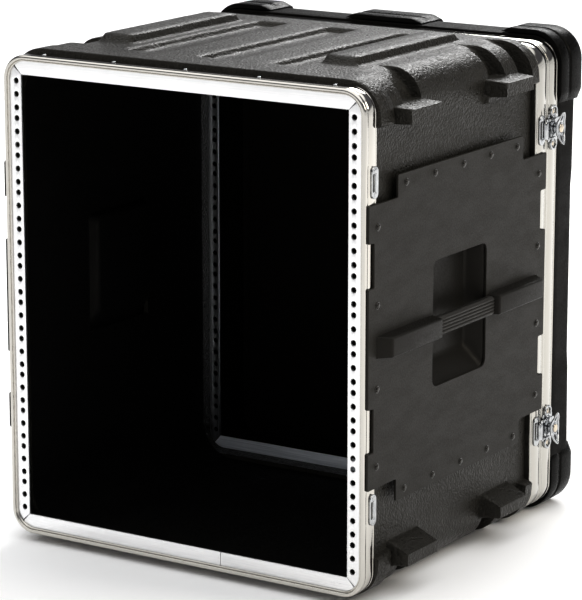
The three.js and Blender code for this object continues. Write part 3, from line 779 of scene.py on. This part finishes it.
# The rear and lid bands take the darker valance metal, which is painted shade.
for name, y0, y1, ribs, body in (
    ("rear_valance", REAR_BAND_Y, SEAM_Y - 0.3, (REAR_BAND_Y + 3.2, SEAM_Y - 3.4), BODY),
    ("lid_valance", SEAM_Y + 0.3, LID_BAND_Y, (SEAM_Y + 4.0, LID_BAND_Y - 3.2), LID),
):
    points, faces, uv = sweep(band_profile(y0, y1, ribs))
    build(
        name + "_fine", [(points, faces)], valance_metal_painted_shade, body, [name],
        sharp=60, uv=uv)

gasket = [
    (SEAM_Y - 1.2, 4.3), (SEAM_Y - 0.4, 3.9), (SEAM_Y + 1.6, 3.9), (SEAM_Y + 2.4, 4.3),
    (SEAM_Y + 2.4, 6.8), (SEAM_Y + 1.2, 7.1), (SEAM_Y - 1.2, 6.8),
]
points, faces, _ = sweep(gasket)
build("lid_gasket_fine", [(points, faces)], rubber, LID, ["lid_gasket"], sharp=60)


# ---- rack rails and sills ----
MITRE_X = FLANGE_X - FLANGE_R * (1 - math.sqrt(0.5))  # where a mitre meets the round corner
MITRE_Z = FLANGE_Z - FLANGE_R * (1 - math.sqrt(0.5))
STRAIGHT_X, STRAIGHT_Z = FLANGE_X - FLANGE_R, FLANGE_Z - FLANGE_R
LEG = 14.5  # depth of the leg behind a rail's face
FAR = 300.0  # stands for an end that runs to its mitre
SEAM_X = 52.4  # where the two lengths of the lower front sill meet


def leg_depths(y0, back):
    """From where to where the leg of a rail at y0 reaches, behind its face or before it."""
    return (y0 + 0.3, y0 + LEG) if back else (y0 + RAIL_THICK - LEG, y0 + RAIL_THICK - 0.3)


def rail_part(y0, back):
    """The right-hand rail: an L with a column of round holes and mitred ends."""
    outer = [
        (OPEN_X, -OPEN_Z + 0.2), (MITRE_X, -MITRE_Z + 1.5), (FLANGE_X, -STRAIGHT_Z),
        (FLANGE_X, STRAIGHT_Z), (MITRE_X, MITRE_Z - 1.5), (OPEN_X, OPEN_Z - 0.2),
    ]
    holes = []
    for unit in range(UNITS):
        for offset in HOLE_OFFSETS:
            holes.append(circle(HOLE_X, unit * UNIT + offset - UNITS * UNIT / 2, HOLE_R))
    face = flat(outer, holes, y0, y0 + RAIL_THICK, "y", 0.3, 1)
    leg_x = FLANGE_X - RAIL_THICK, FLANGE_X - 0.1
    leg = slab(*leg_x, *leg_depths(y0, back), -STRAIGHT_Z, STRAIGHT_Z, 0.4)
    return merge([face, leg])


def sill_part(y0, back, x0, x1):
    """The upper sill, cut to x0 and x1, with mitred ends where it meets the rails."""
    left = [(-OPEN_X + 0.3, OPEN_Z), (-MITRE_X + 1.5, MITRE_Z), (-STRAIGHT_X, FLANGE_Z)]
    right = [(STRAIGHT_X, FLANGE_Z), (MITRE_X - 1.5, MITRE_Z), (OPEN_X - 0.3, OPEN_Z)]
    if x0 > -FAR:
        left = [(x0, OPEN_Z), (x0, FLANGE_Z)]
    if x1 < FAR:
        right = [(x1, FLANGE_Z), (x1, OPEN_Z)]
    face = flat((left + right)[::-1], [], y0, y0 + RAIL_THICK, "y", 0.3, 2)
    leg_x = max(x0, -STRAIGHT_X), min(x1, STRAIGHT_X)
    leg = slab(*leg_x, *leg_depths(y0, back), FLANGE_Z - RAIL_THICK, FLANGE_Z - 0.1, 0.4)
    return merge([face, leg])


# The rear rails take the darker rail metal, which is painted shade.
for side_name, sign in SIDES:
    for end, y0, metal in (
        ("front", RAIL_Y, rail_metal),
        ("rear", REAR_RAIL_Y, rail_metal_painted_shade),
    ):
        part = mirror(rail_part(y0, end == "front"), sign)
        node = f"{end}_rail_{side_name}"
        build(f"{end}_rail_fine_{side_name}", [part], metal, BODY, [node])
for end, rest, up, x0, x1 in (
    ("front", "top", 1, -FAR, FAR),
    ("rear", "top", 1, -FAR, FAR),
    ("rear", "bottom", -1, -FAR, FAR),
    ("front", "bottom_left", -1, -FAR, SEAM_X - 0.35),
    ("front", "bottom_right", -1, SEAM_X + 0.35, FAR),
):
    front = end == "front"
    part = mirror(sill_part(RAIL_Y if front else REAR_RAIL_Y, front, x0, x1), up, 2)
    node = f"{end}_sill_{rest}"
    # The rear sills take the blue-tinted sill metal, which is a painted reflection.
    metal = sill_metal if front else sill_metal_painted_reflection
    build(node + "_fine", [part], metal, BODY, [node])


# ---- side plates, cups, caps and grips ----
PLATE_HALF = (
    (-1, 69), (11, 69), (11, 120), (-1, 120), (-1, 163), (61, 163), (61, 189),
    (351, 189), (351, 160), (410, 160), (410, 115), (397, 115), (397, 66), (410, 66),
)  # upper half of the outline, as (distance behind the rails, height)
RIVET_Y = (-169.5, -105.5, -40.5, 23.5, 87.5)
RIVET_ROW_Z = 178.0
RIVET_Z = (137.0, 48.0, -48.0, -138.0)
RIVET_COLUMN_Y = (-230.5, 142.5)
CAPS = ((-232.0, -108.2), (19.7, 140.5))
CAP_HALF, CAP_OUT = 12.75, 268.3


def plate_part():
    upper = [(RAIL_Y + d, z) for d, z in PLATE_HALF]
    lower = [(RAIL_Y + d, -z) for d, z in reversed(PLATE_HALF)]
    outline = fillet(upper + lower, 2.2, 3)
    corners = [(CUP_Y0, CUP_Z0), (CUP_Y1, CUP_Z0), (CUP_Y1, CUP_Z1), (CUP_Y0, CUP_Z1)]
    opening = fillet(corners, 11, 6)
    return flat(outline, [opening], PLATE_X, PLATE_OUT, "x", 0.6, 3)


def cup_part():
    """The recessed bowl behind the plate: a rim, drafted walls, a long slope up from the
    floor to the lower edge, and softly rounded corners."""
    rim, floor = 249.2, 226.8
    rings = []

    def ring(x, grow, radius):
        t = min(max((rim - 2.4 - x) / (rim - 2.4 - floor), 0.0), 1.0)
        y0, y1 = CUP_Y0 - grow + 8 * t, CUP_Y1 + grow - 8 * t
        z0, z1 = CUP_Z0 - grow + 25 * t, CUP_Z1 + grow - 4 * t
        ys, zs = corner_ring((y1 - y0) / 2, (z1 - z0) / 2, radius, 6)
        rings.append([(x, (y0 + y1) / 2 + y, (z0 + z1) / 2 + z) for y, z in zip(ys, zs)])

    for drop, grow in ((1.6, 12.0), (0.0, 11.4), (0.0, 2.5), (0.8, 0.6), (2.4, -0.4)):
        ring(rim - drop, grow, 11.0)
    for x in (243.0, 238.0, 233.0, 230.0):
        ring(x, -0.4, 10.0)
    for k in range(1, 6):
        a = math.pi / 2 * k / 5
        ring(floor + 3.2 * (1 - math.sin(a)), -0.4 - 3.2 * (1 - math.cos(a)), 9.0)
    ring(floor, -14.0, 7.0)
    ring(floor, -30.0, 5.0)
    count = len(rings[0])
    faces = tube_faces(len(rings), count)
    faces.append(tuple((len(rings) - 1) * count + k for k in range(count)))
    return [q for r in rings for q in r], faces


def sloped_bar(y0, y1, half_z, x0, x1, slope0, slope1, soft):
    """A raised bar along y whose ends slope down to its base."""
    bm = bmesh.new()
    corners = [
        (x0, y0, -half_z), (x0, y1, -half_z), (x0, y1, half_z), (x0, y0, half_z),
        (x1, y0 + slope0, -half_z + 1), (x1, y1 - slope1, -half_z + 1),
        (x1, y1 - slope1, half_z - 1), (x1, y0 + slope0, half_z - 1),
    ]
    verts = [bm.verts.new(c) for c in corners]
    walls = [(k, (k + 1) % 4, (k + 1) % 4 + 4, k + 4) for k in range(4)]
    for f in ((3, 2, 1, 0), (4, 5, 6, 7), *walls):
        bm.faces.new([verts[i] for i in f])
    raised = [e for e in bm.edges if max(v.co.x for v in e.verts) > x0 + 0.1]
    return rounded(bm, raised, soft, 4)


def grip_part():
    """A webbing strap in a moulded grip with five rounded ribs along it."""
    half, low, high, rib = 11.0, 253.3, 261.6, 1.7
    profile = [(low, -half + 1.5), (low + 1.5, -half), (high - 1.0, -half)]
    for k in range(41):
        t = k / 40
        ridge = high + rib * abs(math.sin(5 * math.pi * t)) ** 0.6
        profile.append((ridge, -half + 1.2 + t * (2 * half - 2.4)))
    profile += [(high - 1.0, half), (low + 1.5, half), (low, half - 1.5)]
    stations = (-107.6, -107.0, -105.5, -90, -70, -45, -20, 0, 17.0, 18.5, 19.1)
    rows = []
    for i, y in enumerate(stations):
        shrink = (1.2, 0.5, 0.0)[min(i, len(stations) - 1 - i, 2)]
        narrow = 1 - shrink * 0.06
        rows.append([(max(x - shrink, low), y, z * narrow) for x, z in profile])
    strap = slab(254.0, 256.4, -133.0, 45.0, -7.8, 7.8, 0.6)
    return merge([capped_tube(rows), strap])


def cap_part(y0, y1, first):
    """The cover over one end of the strap. It slopes more towards the end of the case."""
    outer_slope, inner_slope = (10.0, 3.0) if first else (3.0, 10.0)
    body = sloped_bar(y0, y1, CAP_HALF, 252.9, CAP_OUT, outer_slope, inner_slope, 2.6)
    foot = sloped_bar(y0, y1, CAP_HALF, 252.7, 254.4, 0.8, 0.8, 0.5)
    return merge([body, foot])


def plate_rivets():
    """Round heads in collars, in a row along the top and base and a column at each end."""
    centres = [(y, z) for z in (-RIVET_ROW_Z, RIVET_ROW_Z) for y in RIVET_Y]
    centres += [(y, z) for z in RIVET_Z for y in RIVET_COLUMN_Y]
    collar = [(-0.4, 4.6), (0.3, 4.6), (0.5, 4.3), (0.5, 3.6)]
    parts = []
    for y, z in centres:
        parts.append(lathe([(PLATE_OUT + x, r) for x, r in collar], y, z, 20))
        parts.append(dome(PLATE_OUT, y, z, 3.4, 2.4))
    return merge(parts)


def cup_piece(side_name, sign):
    """The recess, thickened outwards. Its hidden back and rim have the bay plastic, darkened as
    painted shade.
    """
    cup = build(
        "handle_cup_fine_" + side_name, [mirror(cup_part(), sign)], handle_plastic, BODY,
        ["handle_cup_" + side_name], outward=False)
    thick = cup.modifiers.new("wall", "SOLIDIFY")
    thick.thickness = 1.8 * MM
    thick.offset = -1
    thick.material_offset = 1
    thick.material_offset_rim = 1
    cup.data.materials.append(bay_plastic_painted_shade)


for side_name, sign in SIDES:
    build(
        "side_plate_fine_" + side_name, [mirror(plate_part(), sign)], plate_plastic, BODY,
        ["side_plate_" + side_name], sharp=4)
    cup_piece(side_name, sign)
    build(
        "plate_rivets_" + side_name, [mirror(plate_rivets(), sign)], rivet_black, BODY)
    for (y0, y1), which in zip(CAPS, ("front", "rear")):
        part = mirror(cap_part(y0, y1, which == "front"), sign)
        node = f"handle_cap_{which}_{side_name}"
        build(f"handle_cap_fine_{which}_{side_name}", [part], handle_plastic, BODY, [node])
    grip = "grip_" + side_name
    build("grip_fine_" + side_name, [mirror(grip_part(), sign)], rubber, grip, [grip], sharp=50)


# ---- rear lid ----
LID_X, LID_Z, LID_R, LID_EDGE = 248.0, 294.6, 34.0, 13.0
# The lid's sides are set in towards the back, between the bumpers.
WAIST_Z, WAIST_RAMP, WAIST_DEPTH = 106.0, 40.0, 3.0


def lid_part():
    """A deep dish with a rounded back edge, a waist at each side and a sunk panel."""
    steps = 12
    rows = []
    waist = [(WAIST_Z + WAIST_RAMP * t, 1 - t) for t in (0.5, 0.25, 0.0)] + [(0.0, 1.0)]
    waist += [(-z, w) for z, w in reversed(waist[:-1])]

    def ring(y, half_x, half_z, radius, sink=0.0):
        xs, zs = corner_ring(half_x, half_z, radius, steps)
        row = [(x, y, z) for x, z in zip(xs, zs)]
        scale = min(half_z / LID_Z, 1.0)
        right = [(half_x - sink * w, y, -z * scale) for z, w in waist]
        left = [(-half_x + sink * w, y, z * scale) for z, w in waist]
        n = steps + 1
        rows.append(row[:2 * n] + left + row[2 * n:] + right)

    x, z, r = LID_X - 9.5, LID_Z - 12.0, LID_R - 6.0  # of the dish's inside
    ring(LID_BACK_Y - 5.5, 20.0, 20.0, 4.0)
    ring(LID_BACK_Y - 5.5, x - 4, z - 4, r - 4)
    ring(LID_BACK_Y - 9.5, x, z, r)
    ring(SEAM_Y + 3.2, x, z, r)
    ring(SEAM_Y + 2.9, x + 0.4, z + 0.4, r)
    ring(SEAM_Y + 2.9, FLANGE_X - 0.3, FLANGE_Z - 0.3, FLANGE_R)
    ring(LID_BAND_Y + 0.3, FLANGE_X - 0.2, FLANGE_Z - 0.2, FLANGE_R)
    for depth, inset, sharper in ((0.4, 1.2, 1), (1.0, 0.3, 0), (2.0, 0.0, 0)):
        ring(LID_BAND_Y + depth, LID_X - inset, LID_Z - inset, LID_R - sharper)
    front, back = LID_BAND_Y + 2.0, LID_BACK_Y - LID_EDGE
    for k in range(1, 4):
        ring(front + k * (back - front) / 3, LID_X, LID_Z, LID_R, WAIST_DEPTH * k / 3)
    for k in range(1, 9):
        a = math.pi / 2 * k / 8
        y, inset = back + LID_EDGE * math.sin(a), LID_EDGE * (1 - math.cos(a))
        radius = LID_R - 0.6 * inset
        ring(y, LID_X - inset, LID_Z - inset, radius, WAIST_DEPTH * math.cos(a))
    groove = ((40, 0.0), (44, 0.4), (47, 1.9), (50, 2.2))
    raised = ((78, 2.2), (81, 1.9), (84, 0.4), (88, 0.0), (110, 0.0))
    for inset, sink in groove + raised:
        ring(LID_BACK_Y - sink, LID_X - inset, LID_Z - inset, max(LID_R - inset * 0.25, 8))
    ring(LID_BACK_Y, 20.0, 20.0, 4.0)
    return capped_tube(rows)


build("lid_shell_fine", [lid_part()], lid_plastic, LID, ["lid_shell"])

BUMPER_X, BUMPER_Z, BUMPER_R = 253.5, MID_Z, 40.0  # the lower bumpers rest on the floor
BUMPER_Y0 = LID_BAND_Y + 2.0
TAPER = ((0, 0.0), (2.5, 0.18), (9, 0.75), (12, 0.95), (15, 1.0))  # fullness from an end
TOP_LEG = 168.0  # where a corner bumper starts on the top
UPPER_LEG, LOWER_LEG = 214.0, 224.0  # and where it ends on the side
LOWER_SET_IN = 3.0  # how much less proud at the side a lower bumper is
MIDDLE_HALF = 55.0


def bumper_section(t):
    """Profile of a bumper as (y, inset) with t from 0 at a tapered end to 1 in the body."""
    y0 = BUMPER_Y0 + 3.0 * (1 - t)
    back = BUMPER_BACK_Y
    top = 5.2 * (1 - t)
    return [
        (y0, 5.4), (y0, top + 1.4), (y0 + 0.5, top + 0.4), (y0 + 1.6, top),
        (y0 + 17.0, top), (y0 + 18.6, top + 0.2), (y0 + 20.4, top + 1.2 * t),
        (y0 + 24.0, top + 1.3 * t), (y0 + 25.6, top + 0.3), (y0 + 27.6, top),
        (back - 8.5, top), (back - 5.0, top + 0.5 + 0.3 * t), (back - 2.4, top + 2.0),
        (back - 0.7, top + 4.6), (back, top + 7.8), (back, 30.0), (back - 0.6, 38.0),
        (back - 2.4, 40.2), (back - 3.6, 40.4), (back - 3.7, 18.0), (back - 8.0, 9.8),
        (back - 16.0, 5.8),
    ]


def corner_path(side_leg):
    """Stations (x, z, outward x, outward z, fullness) of the upper right corner bumper."""
    cx, cz = BUMPER_X - BUMPER_R, BUMPER_Z - BUMPER_R
    stations = [(TOP_LEG + s, cz, 0.0, 1.0, t) for s, t in TAPER]
    stations += [(x, cz, 0.0, 1.0, 1.0) for x in np.linspace(TOP_LEG + 22, cx - 4, 3)]
    for k in range(13):
        a = math.pi / 2 * (1 - k / 12)
        stations.append((cx, cz, math.cos(a), math.sin(a), 1.0))
    return stations + [(cx, side_leg + s, 1.0, 0.0, t) for s, t in reversed(TAPER)]


def middle_path():
    """Stations of the short bumper in the middle of the top."""
    cz = BUMPER_Z - BUMPER_R
    stations = [(-MIDDLE_HALF + s, cz, 0.0, 1.0, t) for s, t in TAPER]
    return stations + [(MIDDLE_HALF - s, cz, 0.0, 1.0, t) for s, t in reversed(TAPER)]


def bumper_part(stations):
    rows = []
    for x, z, nx, nz, t in stations:
        reaches = [(y, BUMPER_R - inset) for y, inset in bumper_section(t)]
        rows.append([(x + nx * r, y, z + nz * r) for y, r in reaches])
    return capped_tube(rows)


def set_in(part, depth):
    points, faces = part
    return [(x - depth * smooth_step((x - 200.0) / 30.0), y, z) for x, y, z in points], faces


def bumper_piece(which, part):
    node = "lid_bumper_" + which
    build("lid_bumper_fine_" + which, [part], bumper_plastic, LID, [node], sharp=28)


for side_name, sign in SIDES:
    for level, up in LEVELS:
        if up > 0:
            part = bumper_part(corner_path(UPPER_LEG))
        else:
            part = mirror(set_in(bumper_part(corner_path(LOWER_LEG)), LOWER_SET_IN), -1, 2)
        bumper_piece(f"{level}_{side_name}", mirror(part, sign))
for name, up in (("top", 1), ("base", -1)):
    bumper_piece(name + "_middle", mirror(bumper_part(middle_path()), up, 2))


# ---- keepers and twist latches ----
KEEPER_Y = {"front": RAIL_Y + 13.5, "rear": RAIL_Y + 400.0}
SEAT_X = 249.6  # the hardware's underside, just off the aluminium
EAR_Z, KEEPER_RIVET_Z = 19.5, 13.2  # rivets above and below a latch and a keeper


def box_outline(y0, y1, z0, z1, radius, steps):
    return fillet([(y0, z0), (y1, z0), (y1, z1), (y0, z1)], radius, steps)


def keeper_part(y, z):
    """A slotted plate with the rolled lip that the hook catches."""
    slot = box_outline(y - 5, y - 0.5, z - 10, z + 10, 1.2, 3)
    plate = flat(oval(y, z, 6.5, 18.3), [slot], SEAT_X, 251.8, "x", 0.7, 3)
    roll = slab(251.0, 252.3, y - 0.3, y + 1.6, z - 10.6, z + 10.6, 0.6, 3)
    return merge([plate, roll])


def latch_base_part(y, z):
    """The latch's plate, with a ring-shaped ear above and below it."""
    ears = []
    for up in (-1, 1):
        ear, hole = circle(y, z + up * EAR_Z, 8.2, 32), circle(y, z + up * EAR_Z, 5.4, 24)
        ears.append(flat(ear, [hole], SEAT_X, 253.0, "x", 1.1, 3))
    outline = box_outline(y - 12, y + 12, z - 17, z + 17, 3, 4)
    return merge([flat(outline, [], SEAT_X, 251.2, "x", 0.5, 2), *ears])


def hook_part(y, z):
    """A flat tongue with curled sides that ends in the claw over the keeper."""
    slot = [(y + 3 + b, z + a) for a, b in oval(0, 0, 3.8, 6.8, 10)]
    tongue = [
        (y - 22, z - 12.5), (y + 10, z - 12.5), (y + 12, z - 8),
        (y + 12, z + 8), (y + 10, z + 12.5), (y - 22, z + 12.5),
    ]
    parts = [flat(fillet(tongue, 2.0, 3), [slot], 252.6, 254.6, "x", 0.7, 3)]
    for up in (-1, 1):
        curl = z + up * 11.0
        parts.append(slab(253.4, 256.4, y - 18, y - 2, curl - 1.3, curl + 1.3, 1.1, 3))
    axis_x = 255.4  # of the claw's half turn
    claw = []
    for k in range(9):
        a = math.pi * k / 8
        claw.append((axis_x - 2.4 * math.cos(a), y - 24.6 - 5.6 * math.sin(a)))
    rows = []
    for offset, edge in ((-10.0, 0.5), (-9.2, 0.0), (9.2, 0.0), (10.0, 0.5)):
        outer = [(x + (edge if x < axis_x else -edge), v, z + offset) for x, v in claw]
        inner = [(axis_x + (x - axis_x) * 0.45, v + 1.3, z + offset) for x, v in reversed(claw)]
        rows.append(outer + inner)
    bridge = slab(253.0, 255.0, y - 26, y - 20, z - 10, z + 10, 0.8, 3)
    return merge([*parts, capped_tube(rows), bridge])


WING_BEND = 4.5  # how far the ends of a wing are bent out


def wing_part(y, z):
    """A wing that narrows to each end, with a rolled rim, two finger holes and its hub."""
    outline = []
    for a in np.linspace(0, 2 * math.pi, 49)[:-1]:
        reach_y = 10.5 * (1 - 0.45 * abs(math.sin(a)) ** 3)
        outline.append((y + reach_y * math.cos(a), z + 20.0 * math.sin(a)))
    inner = [(y + (u - y) * 0.76, z + (v - z) * 0.88) for u, v in outline]
    finger = [oval(y, z + s * 11.8, 2.3, 3.6, 8) for s in (-1, 1)]
    sheet = flat(outline, finger, 260.0, 261.4, "x", 0.6, 3)
    rim = flat(outline, [inner], 260.4, 262.4, "x", 0.9, 3)
    points, faces = merge([sheet, rim])
    bent = [(u + WING_BEND * max(abs(w - z) - 7.0, 0.0) / 13.0, v, w) for u, v, w in points]
    boss = lathe([(261.0, 7.4), (261.9, 7.2), (262.2, 6.4), (261.7, 5.6)], y, z, 28)
    hub = lathe([(255.2, 6.4), (255.6, 7.0), (260.2, 7.0), (260.5, 6.6)], y, z, 24)
    return merge([(bent, faces), boss, hub])


def pin_part(y, z):
    """The pivot, with a domed head in the wing's hub."""
    profile = [(251.5, 3.0), (262.2, 3.0), (262.3, 5.0), (262.7, 5.2)]
    for k in range(1, 6):
        a = math.pi / 2 * k / 6
        profile.append((262.7 + 0.8 * math.sin(a), 5.2 * math.cos(a)))
    return lathe(profile, y, z, 24)


def rivet_pair(x, y, z, spread, radius, height):
    return merge([dome(x, y, z + s * spread, radius, height) for s in (-1, 1)])


def hardware(name, part, metal, body, nodes=()):
    build(name, [mirror(part, sign)], metal, body, nodes)


for side_name, sign in SIDES:
    for level, up in LEVELS:
        where, z = f"{level}_{side_name}", up * LATCH_Z
        for which, y in KEEPER_Y.items():
            node = f"keeper_{which}_{where}"
            hardware(f"keeper_fine_{which}_{where}", keeper_part(y, z), zinc, BODY, [node])
            heads = rivet_pair(251.4, y, z, KEEPER_RIVET_Z, 2.9, 1.0)
            hardware(f"keeper_rivets_{which}_{where}", heads, zinc, BODY)
        y = LATCH_Y
        base, pin = "latch_base_" + where, "latch_pin_" + where
        hook, wing = "latch_hook_" + where, "latch_wing_" + where
        hardware("latch_base_fine_" + where, latch_base_part(y, z), zinc, LID, [base])
        heads = rivet_pair(SEAT_X + 0.1, y, z, EAR_Z, 3.2, 2.0)
        hardware("latch_rivets_" + where, heads, brass, LID)
        hardware("latch_pin_fine_" + where, pin_part(y, z), brass, LID, [pin])
        hardware("latch_hook_fine_" + where, hook_part(y, z), zinc, hook, [hook])
        hardware("latch_wing_fine_" + where, wing_part(y, z), zinc, wing, [wing])

# Rivets that hold the front valance, along its top and base.
RIVET_PITCH = 100.0
heads = []
for k in range(-2, 3):
    head = turned_up(dome(FRAME_Z - 0.1, FRONT_BAND_Y - 7.5, k * RIVET_PITCH, 2.6, 1.4))
    heads += [head, mirror(head, -1, 2)]
build("valance_rivets", [merge(heads)], zinc, BODY)


# ---- floor, light and camera ----
def floor():
    m, tree, shader = new_material("floor_paper")
    paper = noise(tree, place(tree), 6, 3, 0.5)
    put(tree, shader["Base Color"], ramp(tree, paper, [(0.3, grey(0.965)), (0.7, grey(0.98))]))
    put(tree, shader["Roughness"], 0.9)
    mesh = bpy.data.meshes.new("floor")
    corners = [(30.0 * x, 30.0 * y, 0) for x, y in reversed(QUARTERS)]
    mesh.from_pydata(corners, [], [(0, 1, 2, 3)])
    mesh.materials.append(m)
    obj = bpy.data.objects.new("floor", mesh)
    obj.location.z = -0.5 * MM
    bpy.context.scene.collection.objects.link(obj)


def light(name, location, target, size, power, colour=(1, 1, 1)):
    data = bpy.data.lights.new(name, "AREA")
    data.shape = "RECTANGLE"
    data.size, data.size_y = size
    data.energy = power
    data.color = colour
    obj = bpy.data.objects.new(name, data)
    obj.location = location
    obj.rotation_mode = "QUATERNION"
    aim = Vector(target) - Vector(location)
    obj.rotation_quaternion = aim.to_track_quat("-Z", "Y")
    bpy.context.scene.collection.objects.link(obj)


floor()

# The room: bright overhead, dark at mid height, and dim at the horizon.
DIM = (0.05, 0.05, 0.055)
world = bpy.data.worlds.new("studio")
bpy.context.scene.world = world
world.use_nodes = True
tree = world.node_tree
direction = add(tree, "TexCoord", {}).outputs["Generated"]
height = add(tree, "SeparateXYZ", {"Vector": direction}).outputs["Z"]
sky = ramp(tree, height, [
    (0.0, grey(0.5)), (0.10, grey(0.5)), (0.18, DIM), (0.58, DIM), (0.72, grey(1.0)),
])
put(tree, tree.nodes["Background"].inputs["Color"], sky)
put(tree, tree.nodes["Background"].inputs["Strength"], 1.95)
light("back_soft", (-1.0, 3.6, 2.7), (0, 0, 0.3), (1.8, 1.2), 110)
light("side_soft", (3.2, 1.0, 2.2), (0, 0, 0.3), (1.4, 1.4), 45, (1.0, 0.93, 0.82))
bpy.context.scene.view_settings.view_transform = "Standard"

camera_data = bpy.data.cameras.new("camera")
camera_data.lens = 184.557
camera_data.sensor_width = 36.0
camera_data.clip_end = 100
camera = bpy.data.objects.new("camera", camera_data)
right = Vector((0.84092, 0.54118, 0.0))
up = Vector((-0.12413, 0.19287, 0.97337))
back = Vector((0.52676, -0.81850, 0.22936))
facing = Matrix((right, up, back)).transposed().to_4x4()
camera.matrix_world = Matrix.Translation((1.9670, -3.0716, 1.1379)) @ facing
bpy.context.scene.collection.objects.link(camera)
bpy.context.scene.camera = camera
